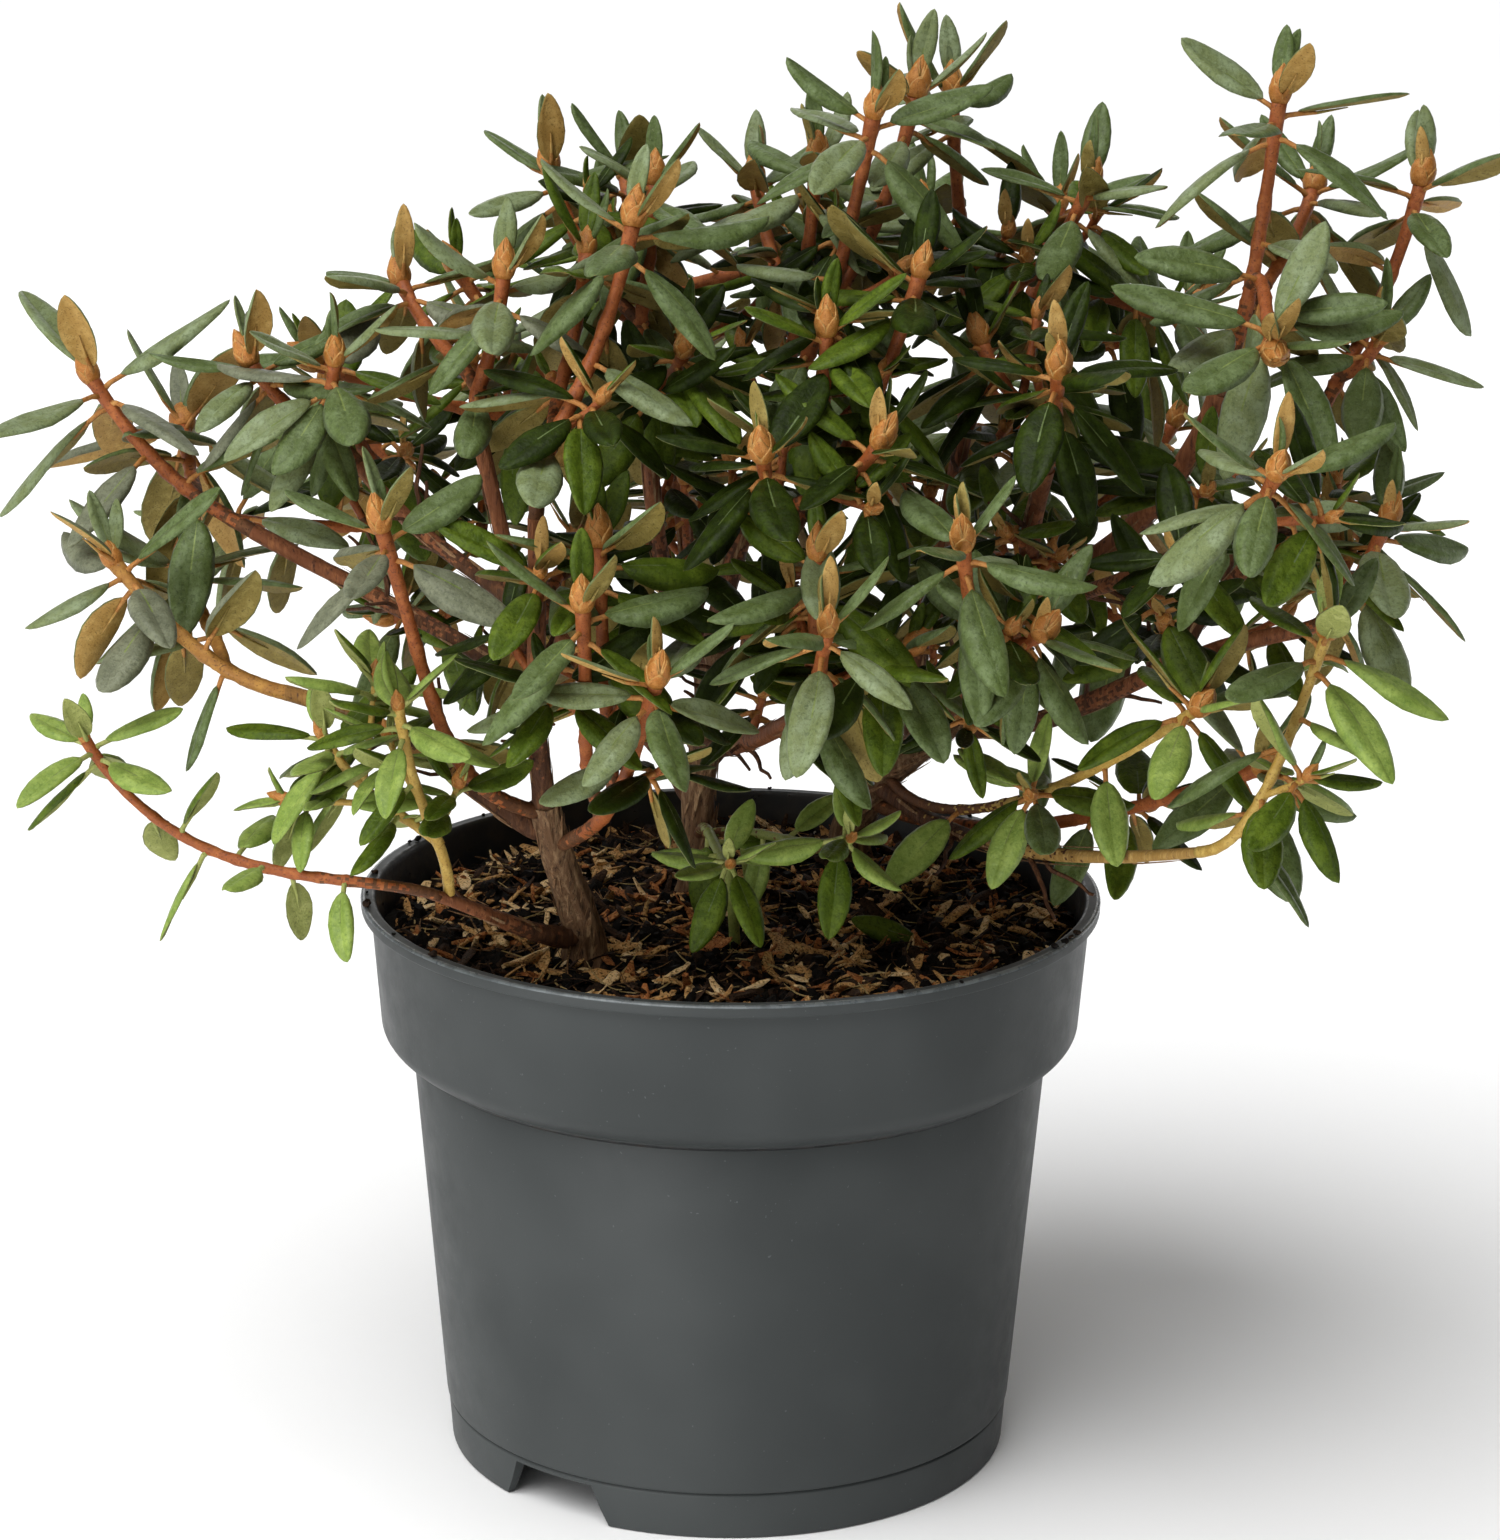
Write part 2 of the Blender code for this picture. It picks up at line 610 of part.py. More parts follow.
def fused(name, solids, material):
    """One body from many closed solids. EXACT leaves open edges where leaf feet meet in a twig."""
    parts = bpy.data.collections.new(f"{name}_parts")
    bpy.context.scene.collection.children.link(parts)
    body = mesh_object(name, *solids[0], material)
    for number, solid in enumerate(solids[1:]):
        mesh_object(f"{name}_{number}", *solid, material, collection=parts)
    union = body.modifiers.new("union", "BOOLEAN")
    union.operation = "UNION"
    union.operand_type = "COLLECTION"
    union.collection = parts
    union.solver = "MANIFOLD"
    graph = bpy.context.evaluated_depsgraph_get()
    joined = bpy.data.meshes.new_from_object(body.evaluated_get(graph))
    body.modifiers.clear()
    body.data = joined
    for obj in list(parts.objects):
        bpy.data.objects.remove(obj)
    bpy.data.collections.remove(parts)
    return body


def make_trunks(space, material):
    limbs = {}
    for name, (foot, top, bend, *radii) in TRUNKS.items():
        path = Path((Vector((*foot, SOIL_TOP + GAP)), UP, UP), top, bend, radii)
        solid = path.tube(TRUNK_SIDES, TRUNK_RINGS, flare=FLARE)
        mesh_object(name, *solid, material, smooth=True)
        space.add(name, solid)
        limbs[name] = path
    return limbs


def make_boughs(limbs, space, material):
    form = (BOUGH_SIDES, BOUGH_RINGS)
    for name, (parent, along, tip, bend, *radii) in BOUGHS.items():
        foot = seat(space, parent, limbs[parent], along, tip, radii[0])
        path = clear_path(space, foot, tip, bend, radii, form, bud=False)
        solid = path.tube(*form)
        mesh_object(name, *solid, material, smooth=True)
        space.add(name, solid)
        limbs[name] = path


def make_stems(limbs, space):
    """Each mass's stem to its first shoot, and a twig from it to each of the others."""
    stems = {}
    for name, (parent, along, _, _, shoots) in MASSES.items():
        tip = shoots[0][:3]
        foot = seat(space, parent, limbs[parent], along, tip, STEM_RADII[0])
        bend = LONG_BENDS.get(name, STEM_BEND)
        paths = [clear_path(space, foot, tip, bend, STEM_RADII, STEM_FORM)]
        space.add(name, paths[0].tube(*STEM_FORM, bud=True))
        for number, shoot in enumerate(shoots[1:]):
            fork = FIRST_FORK + FORK_STEP * number
            tip = shoot[:3]
            _, way = fork_way(paths[0], fork, tip)
            foot = (paths[0].inside(fork, STEM_FORM[1]), way, way)
            paths.append(clear_path(space, foot, tip, TWIG_BEND, TWIG_RADII, TWIG_FORM, but=(name,)))
            space.add(name, paths[-1].tube(*TWIG_FORM, bud=True))
        stems[name] = paths
    return stems


def make_masses(stems, space, material):
    for number, (name, paths) in enumerate(stems.items()):
        solids = [paths[0].tube(*STEM_FORM, bud=True)]
        solids += [path.tube(*TWIG_FORM, bud=True) for path in paths[1:]]
        solids += mass_leaves(name, paths, space, number)
        fused(name, solids, material)


def main():
    clear_scene()
    plastic = plain_material("pot_plastic", (0.10, 0.105, 0.11), 0.45)
    peat = plain_material("peat", (0.035, 0.025, 0.018), 0.95)
    bark = plain_material("bark", (0.20, 0.13, 0.08), 0.85)
    foliage = plain_material("foliage", (0.13, 0.20, 0.12), 0.55)
    make_pot(plastic)
    make_soil(peat)
    space = Space()
    limbs = make_trunks(space, bark)
    make_boughs(limbs, space, bark)
    stems = make_stems(limbs, space)
    make_masses(stems, space, foliage)


main()
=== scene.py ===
"""The looks of the potted dwarf rhododendron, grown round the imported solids.

The limbs and shoots follow the part's own rule and sizes, written again here, and carry finer twigs, leaves
and buds. Sizes are in millimetres, turned into metres where a mesh is made. X runs across the plant, Y to
its back, Z up. The origin is on the pot's axis at the ground.
"""

import itertools
import math
import random
from dataclasses import dataclass

import bpy
import numpy as np
from mathutils import Matrix, Vector, noise
from mathutils.bvhtree import BVHTree


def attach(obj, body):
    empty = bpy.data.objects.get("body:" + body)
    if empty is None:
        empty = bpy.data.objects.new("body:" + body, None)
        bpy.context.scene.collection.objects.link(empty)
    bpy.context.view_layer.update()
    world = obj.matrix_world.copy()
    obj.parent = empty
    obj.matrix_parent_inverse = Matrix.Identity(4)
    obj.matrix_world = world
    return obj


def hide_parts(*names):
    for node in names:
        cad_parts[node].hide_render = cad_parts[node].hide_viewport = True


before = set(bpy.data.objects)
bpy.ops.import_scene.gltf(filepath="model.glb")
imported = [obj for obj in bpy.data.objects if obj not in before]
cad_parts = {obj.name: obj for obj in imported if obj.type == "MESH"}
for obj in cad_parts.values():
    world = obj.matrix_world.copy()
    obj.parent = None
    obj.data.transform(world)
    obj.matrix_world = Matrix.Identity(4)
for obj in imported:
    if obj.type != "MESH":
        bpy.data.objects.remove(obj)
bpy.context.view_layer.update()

MM = 0.001
GAP = 0.3
UP = Vector((0.0, 0.0, 1.0))
ORIGIN = Vector((0.0, 0.0, 0.0))
SEED = 31

# Pot
RIM_RADIUS = 95.0
RIM_TOP = 148.0
LIP_DEPTH = 3.0
COLLAR_RADIUS = 92.3
COLLAR_FOOT_RADIUS = 89.8
COLLAR_FOOT = 112.5
STEP_FOOT = 105.5
BODY_RADIUS = 82.1
BODY_FOOT_RADIUS = 74.0
FOOT_HEIGHT = 12.2
FOOT_RADIUS = 72.7
FOOT_WIDTH = 2.2
POT_WALL = 1.6
FLOOR_TOP = 13.6
FLOOR_CORNER = 3.0
POT_SIDES = 160
ROUNDING_STEPS = 9
NOTCH_TURNS = (-37.0, 143.0)
NOTCH_HALF_FOOT = 14.0
NOTCH_HALF_TOP = 9.5
NOTCH_HEIGHT = 10.6
NOTCH_REACH = 8.0

# Soil
SOIL_TOP = 140.0
SOIL_FLAT_RADIUS = 66.0
SOIL_EDGE_RADIUS = 89.9
SOIL_EDGE_DROP = 3.0
SOIL_LUMP = 2.2
SOIL_LUMPS = ((0.9, 15.0), (0.6, 6.0), (0.35, 2.2))
SOIL_SUNK = 0.6
SOIL_RINGS = 72
SOIL_SIDES = 168
SOIL_CLEAR = 0.5
# How many of each lie on the peat, and where its dark patches are
CHIPS = 1000
CHUNKS = 190
FIBRES = 900
CRUMBS = 3800
GRAINS = 60
RIM_CRUMBS = 26
RIM_CRUMB_SUNK = 0.15
PATCH_SIZE = 11.0
PATCH_LEVEL = 0.05

# Limbs, as the part has them
TRUNK_SIDES = 8
BOUGH_SIDES = 6
TRUNK_RINGS = 7
BOUGH_RINGS = 5
FLARE = 0.45
FLARE_HEIGHT = 5.6
WAY_SHARE = 0.3
FORK_ALONG = 0.6
FORK_OUT = 0.8
SEAT_START = 0.8
SEAT_STEP = 0.1
STUB_LENGTH = 3.0
BEND_SHIFTS = (4.0, 8.0, 12.0, 17.0)
BEND_TURNS = 8
LENGTH_STEPS = 8

# Their bark: a skin is its sides and the distance between its rings
TRUNK_SKIN = (60, 0.7)
BOUGH_SKIN = (26, 0.9)
TRUNK_FLAKES = 60
BOUGH_FLAKES = 14
TRUNK_RELIEF = 0.2
BOUGH_RELIEF = 0.13
TRUNK_SWELL = FLARE + 0.25
BOUGH_SWELL = 0.35
TRUNK_ROOTED = 5.0
LOW_THIN = 0.35
# Share of a bough's length up to which its bark is painted darker as shade inside the crown
SHADED_UNTIL = 0.45
BARE_TWIGS = 4
BARE_TWIG_SIDES = 6

# Shoots, as the part has them: a form is its sides and rings
STEM_FORM = (3, 5)
TWIG_FORM = (3, 4)
STEM_RADII = (1.9, 1.5)
TWIG_RADII = (1.7, 1.5)
STEM_BEND = (0.62, 0.36)
TWIG_BEND = (0.62, 0.3)
FIRST_FORK = 0.34
FORK_STEP = 0.16

# Their skin, and the leaves below the whorl
THIN_TWIG = 0.75
TWIG_ROOTED = 1.4
TWIG_SIDES = 12
SPUR_SIDES = 8
SPROUT_SIDES = 10
EXTRA_STEM_LEAVES = 2
TWIG_LEAVES = 3
LEAFY_FROM = 0.25
LEAFY_SPAN = 0.58

# Spurs, the small side shoots. A span is from where to where along its bearer they leave it
SPUR_RADII = (1.2, 0.95)
SPUR_REACH = (12.0, 26.0)
SPUR_ROOM = 6.0
SPUR_OPENING = math.radians(55.0)
SPUR_RISE = 0.35
SPUR_BEND = (0.66, 0.5)
SPUR_SIZE = (0.72, 0.95)
SPUR_BUD = 0.6
SPUR_TRIES = 6
SHOOT_SPAN = (0.3, 0.74)
BOUGH_SPAN = (0.5, 0.95)
SPURRED_SPAN = (0.35, 0.8)

# Buds
BUD_RADIUS = 3.2
BUD_LENGTH = 11.0
BUD_SHOULDER = 0.38 * BUD_LENGTH
BUD_SIZE = 0.92
BUD_SUNK = 0.6
SMALL_BUD = 0.5

# Whorls, from their outer leaves to their inner ones and the upright one behind the bud
FULL_WHORL = 8
SPUR_WHORL = 7
WHORL_DEPTH = 6.0
WHORL_SHARE = 0.6
WHORL_UP = 0.8
LEAF_TURN = math.radians(137.5)
OUTER_OPENING = math.radians(104.0)
INNER_OPENING = math.radians(21.0)
INNER_LENGTH = 0.44
OUTER_DROOP = 0.24
OUTER_BEND = -0.35
INNER_BEND = 0.15
UPRIGHT_TURN = math.radians(270.0)
UPRIGHT_OPENING = math.radians(10.0)
UPRIGHT_BEND = 0.05
UPRIGHT_LENGTH = 0.58
GOLDEN_UPRIGHT = 0.78
# Leaves that open less than this show a golden underside and are narrower
GOLD_OPENING = math.radians(48.0)
GOLD_WIDTH = 0.78
GOLD_CHANCE = 0.6

# Leaves below the whorl, and the fallen one
STEM_LEAF_OPENING = math.radians(88.0)
STEM_LEAF_LENGTH = 0.9
STEM_LEAF_BEND = -0.3
STEM_LEAF_DROOP = 0.45
FRESH_LEAF_DROOP = 0.15
FALLEN_LENGTH = 22.0

# Every leaf. A pair is the least and the most that is drawn for it
LEAF_TRIES = 8
LEAF_SCALE = 1.1
LEAF_LENGTHS = (0.84, 1.14)
LEAF_DROOPS = (0.1, 1.9)
LEAF_SWING = math.radians(15.0)
LEAF_ROLL = 0.3
LEAF_BEND = 0.25
LEAF_SWAY = 0.25
LEAF_TWIST = 0.35
LEAF_CURL = (0.5, 1.5)
LEAF_FOLD = (-0.12, 0.42)
FOLD_NARROWS = 0.3
LEAF_HALF_WIDTH = 0.187
LEAF_WIDTHS = (0.86, 1.1)
LEAF_WAVES = (5.0, 9.0)
LEAF_WAVE = 0.05
PETIOLE_SHARE = 0.17
STALK_LIFT = math.radians(24.0)

# The crown's own space, which no leaf leaves
CROWN_HALF_WIDTH = 190.0
CROWN_HALF_DEPTH = 143.0
CROWN_TOP = 381.0
CROWN_FOOT = SOIL_TOP + 4.0
# Boxes, as lowest and highest corner, that leaves keep out of, where the left trunk's foot shows
OPEN_SPACES = (((-64.0, -143.0, 140.0), (-24.0, -34.0, 188.0)),)

# Trunk: foot (across, deep), top (across, deep, up), share of the way out and up at its bend,
# radius above the flare, radius at the top
TRUNKS = {
    "trunk_left": ((-36, -38), (-45, -57, 187), (0.6, 0.45), 4.8, 3.7),
    "trunk_middle": ((-9, 21), (-4, 2, 214), (0.2, 0.5), 4.6, 3.4),
    "trunk_right": ((31, 51), (64, 16, 196), (0.35, 0.5), 5.2, 4.0),
}

# Bough: limb it grows from, share of the way along it, tip (across, deep, up),
# share of the way out and up at its bend, radius at its foot, radius at its tip
BOUGHS = {
    "bough_left_low": ("trunk_left", 0.24, (-71, -72, 168), (0.5, 0.5), 2.7, 2.2),
    "bough_left_middle": ("trunk_left", 0.90, (-108, -56, 214), (0.45, 0.75), 2.5, 2.0),
    "bough_left_tall": ("trunk_left", 1.0, (-46, -75, 262), (0.75, 0.4), 2.6, 2.1),
    "bough_left_up": ("trunk_left", 0.96, (-61, -48, 276), (0.3, 0.5), 2.4, 1.9),
    "bough_left_far": ("bough_left_up", 0.42, (-118, -26, 247), (0.55, 0.55), 2.2, 1.9),
    "bough_left_crown": ("bough_left_up", 0.66, (-92, -32, 266), (0.6, 0.4), 2.0, 1.8),
    "bough_middle_up": ("trunk_middle", 1.0, (13, 0, 282), (0.6, 0.5), 2.8, 2.1),
    "bough_middle_left": ("trunk_middle", 0.95, (-23, -8, 284), (0.7, 0.45), 2.5, 2.0),
    "bough_middle_high": ("trunk_middle", 0.86, (12, -56, 254), (0.55, 0.4), 2.4, 2.0),
    "bough_middle_front": ("trunk_middle", 0.66, (16, -74, 214), (0.5, 0.4), 2.4, 2.0),
    "bough_right_middle": ("trunk_right", 1.0, (76, -34, 266), (0.45, 0.45), 3.1, 2.3),
    "bough_right_front": ("trunk_right", 0.80, (60, -62, 222), (0.5, 0.45), 2.3, 1.9),
    "bough_right_tall": ("trunk_right", 0.94, (118, -28, 284), (0.7, 0.35), 3.2, 2.4),
    "bough_right_out": ("bough_right_tall", 0.48, (113, -76, 258), (0.5, 0.4), 2.1, 1.8),
    "bough_right_far": ("trunk_right", 0.88, (141, -18, 222), (0.5, 0.65), 2.7, 2.0),
    "bough_right_up": ("bough_right_far", 0.74, (143, -8, 266), (0.75, 0.4), 2.2, 1.9),
    "bough_right_low": ("trunk_right", 0.52, (112, -84, 184), (0.6, 0.1), 2.4, 2.0),
    "bough_right_back": ("trunk_right", 0.74, (60, 24, 272), (0.5, 0.5), 2.6, 2.1),
    "bough_back_left": ("trunk_middle", 0.42, (-56, 66, 212), (0.55, 0.4), 2.6, 2.0),
    "bough_back_middle": ("trunk_middle", 0.80, (-16, 62, 254), (0.6, 0.4), 2.6, 2.0),
    "bough_back_right": ("trunk_right", 0.62, (84, 84, 216), (0.55, 0.4), 2.6, 2.0),
}

# Mass: limb it grows from, share of the way along it, leaf length, leaves along its stem, and its shoots.
# The first shoot ends the stem. Shoot: tip (across, deep, up), turn of its lowest leaf, where 0 looks
# left and 90 to the front
MASSES = {
    "foliage_left_whip": ("bough_left_low", 1.0, 27, 6, ((-156, -58, 202, 0),)),
    "foliage_left_low": ("bough_left_low", 0.95, 27, 1, ((-78, -88, 219, 80), (-98, -66, 206, 20))),
    "foliage_left_middle": ("bough_left_middle", 1.0, 30, 2, ((-150, -41, 242, 330), (-136, -16, 236, 30))),
    "foliage_left_front": ("trunk_left", 0.99, 29, 2, ((-81, -92, 263, 20),)),
    "foliage_left_far": ("bough_left_far", 1.0, 33, 3, ((-159, -8, 281, 355), (-141, 26, 262, 300))),
    "foliage_left_crown": ("bough_left_crown", 1.0, 28, 1, ((-118, -22, 288, 10), (-96, -40, 292, 60))),
    "foliage_left_inner": ("bough_left_up", 1.0, 28, 1, ((-55, -44, 314, 40), (-82, -8, 306, 10))),
    "foliage_front_tall": ("bough_left_tall", 1.0, 31, 3, ((-24, -52, 328, 20), (-36, -24, 316, 300))),
    "foliage_front_low": (
        "trunk_left", 0.86, 28, 1,
        ((-17, -112, 232, 60), (-34, -106, 248, 10), (-31, -84, 258, 150)),
    ),
    "foliage_low_front": ("trunk_middle", 0.30, 24, 1, ((0, -58, 172, 70), (29, -62, 180, 100))),
    "foliage_middle_front": (
        "bough_middle_front", 1.0, 28, 2,
        ((22, -111, 244, 90), (20, -88, 256, 0), (42, -80, 232, 130)),
    ),
    "foliage_middle_high": ("bough_middle_high", 1.0, 27, 1, ((7, -89, 280, 40), (34, -80, 281, 140))),
    "foliage_middle_upper": ("bough_middle_high", 0.93, 29, 1, ((44, -50, 316, 40), (22, -56, 303, 70))),
    "foliage_top_middle": ("bough_middle_up", 1.0, 28, 1, ((20, 2, 335, 120), (5, 32, 325, 260))),
    "foliage_top_front": ("bough_middle_up", 0.94, 30, 2, ((33, -30, 351, 10), (44, 0, 352, 80))),
    "foliage_top_left": (
        "bough_middle_left", 1.0, 28, 1,
        ((-20, 0, 330, 60), (-46, 12, 331, 350), (-28, 34, 326, 280)),
    ),
    "foliage_inner_front": ("bough_middle_left", 0.94, 26, 1, ((-12, -50, 297, 70),)),
    "foliage_right_front": ("bough_right_front", 1.0, 28, 1, ((53, -106, 263, 100), (72, -92, 239, 160))),
    "foliage_right_inner": ("bough_right_middle", 1.0, 28, 1, ((76, -72, 297, 150), (60, -30, 296, 60))),
    "foliage_right_tall": (
        "bough_right_tall", 1.0, 31, 3,
        ((131, -20, 354, 10), (145, 22, 326, 200), (127, -62, 301, 70)),
    ),
    "foliage_right_out": ("bough_right_out", 1.0, 31, 1, ((123, -114, 282, 20),)),
    "foliage_right_far": ("bough_right_far", 1.0, 29, 2, ((161, -24, 251, 170), (156, 22, 244, 210))),
    "foliage_right_upper": ("bough_right_up", 1.0, 29, 3, ((170, 8, 330, 180), (159, -10, 294, 120))),
    "foliage_right_arc": ("bough_right_low", 1.0, 29, 4, ((138, -98, 241, 120),)),
    "foliage_right_low": ("trunk_right", 0.58, 28, 2, ((110, -84, 219, 20),)),
    "foliage_right_side": ("trunk_right", 0.40, 28, 2, ((129, -50, 195, 140),)),
    "foliage_right_crown": (
        "bough_right_back", 1.0, 29, 1,
        ((54, 26, 349, 40), (87, 4, 328, 160), (107, 12, 296, 110)),
    ),
    "foliage_right_back": (
        "bough_right_back", 0.94, 29, 1,
        ((84, 66, 314, 240), (118, 50, 292, 200), (50, 72, 312, 280)),
    ),
    "foliage_back_left": (
        "bough_back_left", 1.0, 30, 2,
        ((-98, 88, 246, 330), (-66, 110, 268, 270), (-134, 54, 232, 0), (-104, 42, 268, 300)),
    ),
    "foliage_back_left_low": (
        "bough_back_left", 0.93, 29, 1,
        ((-44, 112, 214, 270), (-92, 76, 200, 330), (-8, 108, 226, 230)),
    ),
    "foliage_back_middle": (
        "bough_back_middle", 1.0, 29, 2,
        ((-34, 84, 304, 300), (18, 88, 298, 250), (-12, 114, 262, 270), (22, 54, 312, 200)),
    ),
    "foliage_back_crown": ("bough_back_middle", 0.94, 29, 1, ((-72, 54, 298, 330), (-106, 20, 280, 10))),
    "foliage_back_right": (
        "bough_back_right", 1.0, 30, 2,
        ((118, 90, 252, 220), (66, 110, 266, 260), (148, 58, 236, 190)),
    ),
    "foliage_back_right_low": (
        "bough_back_right", 0.93, 29, 1,
        ((54, 114, 216, 260), (108, 74, 198, 210), (24, 106, 244, 290)),
    ),
}
# The shoot that trails over the rim runs out flat before it turns up
LONG_BENDS = {"foliage_left_whip": (0.72, -0.16)}

# The masses of one side of the crown share one mesh for each kind of thing on them
SIDES = {
    "left": ("foliage_left",),
    "middle": ("foliage_front", "foliage_low", "foliage_middle", "foliage_top", "foliage_inner"),
    "right": ("foliage_right",),
    "back": ("foliage_back",),
}
# Masses with fresh green leaves, with golden stems and leaves between, open ones, and those deep inside,
# whose leaves take the dark tone as painted shade
FRESH = ("foliage_left_whip", "foliage_left_low", "foliage_low_front")
GOLDEN = ("foliage_right_arc", "foliage_right_low")
OPEN_MASSES = ("foliage_left", "foliage_right_tall", "foliage_right_upper")
DEEP_SHADED = ("foliage_middle_high", "foliage_middle_upper", "foliage_inner_front", "foliage_right_inner")
# Boughs that run out thin and low, and masses by the colour of their stems and by what they bear
LOW_BOUGHS = ("bough_left_low", "bough_right_low")
AMBER = ("foliage_left_middle",)
SPURRED = ("foliage_left_low",)
GOLD_STEMMED = GOLDEN + ("foliage_left_low",)
GREEN_STEMMED = ("foliage_low_front",)
# Material numbers on the wood, and those of a bough's outer part that aren't the usual red
# The darker bark on the boughs' inner parts and on the bare twigs is painted shade inside the crown
BARK_OLD, BARK_SHADED, BARK_FLAKE, BARK_RED, BARK_GOLD, BARK_AMBER = range(6)
OUTER_BARK = {"bough_right_low": BARK_GOLD, "bough_left_middle": BARK_AMBER}
# Share of its length from which a golden twig is golden, where that isn't its foot
GOLD_FROM = {"foliage_right_low": 0.45}
# How much longer the leaves of a mass are than its own length gives
LONG_LEAVES = {
    "foliage_right_tall": 1.08,
    "foliage_left_far": 1.12,
    "foliage_low_front": 0.85,
    "foliage_left_low": 0.95,
    "foliage_left_whip": 0.86,
}
# Green stems that come out of the peat: foot and top
SPROUTS = (((1.3, -26.7, 138.0), (-0.5, -30.0, 163.0)), ((5.5, 2.7, 138.0), (3.0, -6.0, 164.0)))


# Growth, by the part's own rule


class Path:
    """A smooth line from a foot to a tip, with a radius that runs from one end to the other.

    It leaves along its way and turns through one bend. Its foot is cut square to the cut direction.
    """

    def __init__(self, foot, end, bend, radii, shift=ORIGIN):
        self.start, self.cut, way = foot
        self.end = Vector(end)
        out, rise = bend
        span = self.end - self.start
        self.first = self.start + way * span.length * WAY_SHARE
        self.second = self.start + Vector((span.x * out, span.y * out, span.z * rise)) + shift
        self.radii = radii

    def point(self, along):
        back = 1.0 - along
        return (
            self.start * back**3
            + self.first * 3 * back**2 * along
            + self.second * 3 * back * along**2
            + self.end * along**3
        )

    def inside(self, along, rings):
        """The middle of the part's tube there, which runs straight from ring to ring."""
        place = along * (rings - 1)
        low = min(int(place), rings - 2)
        low_point, high_point = self.point(low / (rings - 1)), self.point((low + 1) / (rings - 1))
        return low_point.lerp(high_point, place - low)

    def heading(self, along):
        back = 1.0 - along
        return (
            (self.first - self.start) * back**2
            + (self.second - self.first) * 2 * back * along
            + (self.end - self.second) * along**2
        ).normalized()

    def radius(self, along):
        """The radius there, or an array of them for an array of shares."""
        return self.radii[0] + (self.radii[1] - self.radii[0]) * along

    def length(self):
        points = [self.point(step / LENGTH_STEPS) for step in range(LENGTH_STEPS + 1)]
        return sum((after - before).length for before, after in zip(points, points[1:]))

    def tube(self, sides, rings, flare=0.0, bud=False, grow=0.0):
        """Points and faces of the part's own tube, for telling what would touch it."""
        points = []
        for ring in range(rings):
            along = ring / (rings - 1)
            centre = self.point(along)
            heading = self.heading(along) if ring else self.cut
            radius = self.radius(along) + grow
            radius *= 1.0 + flare * math.exp((self.start.z - centre.z) / FLARE_HEIGHT)
            points += ring_points(centre, heading, radius, sides)
        if bud:
            heading = self.heading(1.0)
            points += ring_points(self.end + heading * BUD_SHOULDER, heading, BUD_RADIUS, sides)
            points.append(self.end + heading * BUD_LENGTH)
            rings += 1
        return points, room_faces(sides, rings, pointed=bud)


def any_side(heading):
    """A direction square to the heading."""
    side = heading.cross(Vector((0.0, 1.0, 0.0)))
    return side.normalized() if side.length > 0.1 else Vector((1.0, 0.0, 0.0))


def around(axis, turn, opening):
    """The direction that leaves the axis by the opening, turned round it."""
    side = Matrix.Rotation(turn, 3, axis) @ any_side(axis)
    return (axis * math.cos(opening) + side * math.sin(opening)).normalized()


def ring_points(centre, heading, radius, sides):
    across = any_side(heading)
    deep = heading.cross(across)
    turns = [2 * math.pi * side / sides for side in range(sides)]
    return [centre + radius * (math.cos(turn) * across + math.sin(turn) * deep) for turn in turns]


def room_faces(sides, rings, pointed):
    faces = [tuple(range(sides - 1, -1, -1))]
    for ring in range(rings - 1):
        low, high = ring * sides, (ring + 1) * sides
        for side in range(sides):
            after = (side + 1) % sides
            faces.append((low + side, low + after, high + after))
            faces.append((low + side, high + after, high + side))
    last = (rings - 1) * sides
    if pointed:
        tip = last + sides
        faces += [(last + side, last + (side + 1) % sides, tip) for side in range(sides)]
    else:
        faces.append(tuple(range(last, last + sides)))
    return faces


class Space:
    """Keeps each finished solid under its owner's name, and tells what a new one would touch.

    A solid is filed in the cells of a coarse grid that its box meets, so that only near ones are compared.
    """

    CELL = 18.0

    def __init__(self):
        self.kept = []
        self.cells = {}

    def reach(self, points):
        """The cells that the box round the points meets."""
        spans = []
        for axis in range(3):
            places = [point[axis] for point in points]
            spans.append(range(math.floor(min(places) / self.CELL), math.floor(max(places) / self.CELL) + 1))
        return itertools.product(*spans)

    def add(self, owner, solid):
        number = len(self.kept)
        self.kept.append((owner, BVHTree.FromPolygons(*solid)))
        for cell in self.reach(solid[0]):
            self.cells.setdefault(cell, []).append(number)

    def touched(self, solid, but=()):
        near = sorted({number for cell in self.reach(solid[0]) for number in self.cells.get(cell, ())})
        tree = BVHTree.FromPolygons(*solid) if near else None
        pairs = [self.kept[number] for number in near]
        return [owner for owner, other in pairs if owner not in but and tree.overlap(other)]


def fork_way(parent, along, aim):
    """The side of the parent that looks at the aim, and the way a limb leaves it there."""
    spot, heading = parent.point(along), parent.heading(along)
    out = Vector(aim) - spot
    out = (out - heading * out.dot(heading)).normalized()
    return out, (heading * FORK_ALONG + out * FORK_OUT).normalized()


def seat(space, name, parent, along, aim, radius):
    """The foot of a limb that grows from this spot, just clear of the limb that bears it."""
    spot, heading = parent.point(along), parent.heading(along)
    if along >= 1.0:
        return spot + heading * GAP, heading, heading
    out, way = fork_way(parent, along, aim)
    others = {owner for owner, _ in space.kept if owner != name}
    reach = parent.radius(along) * SEAT_START
    while True:
        foot = (spot + out * reach, out, way)
        stub = Path(foot, foot[0] + way * STUB_LENGTH, STEM_BEND, (radius, radius))
        if not space.touched(stub.tube(BOUGH_SIDES, 2), but=others):
            return foot[0] + out * GAP, out, way
        reach += SEAT_STEP


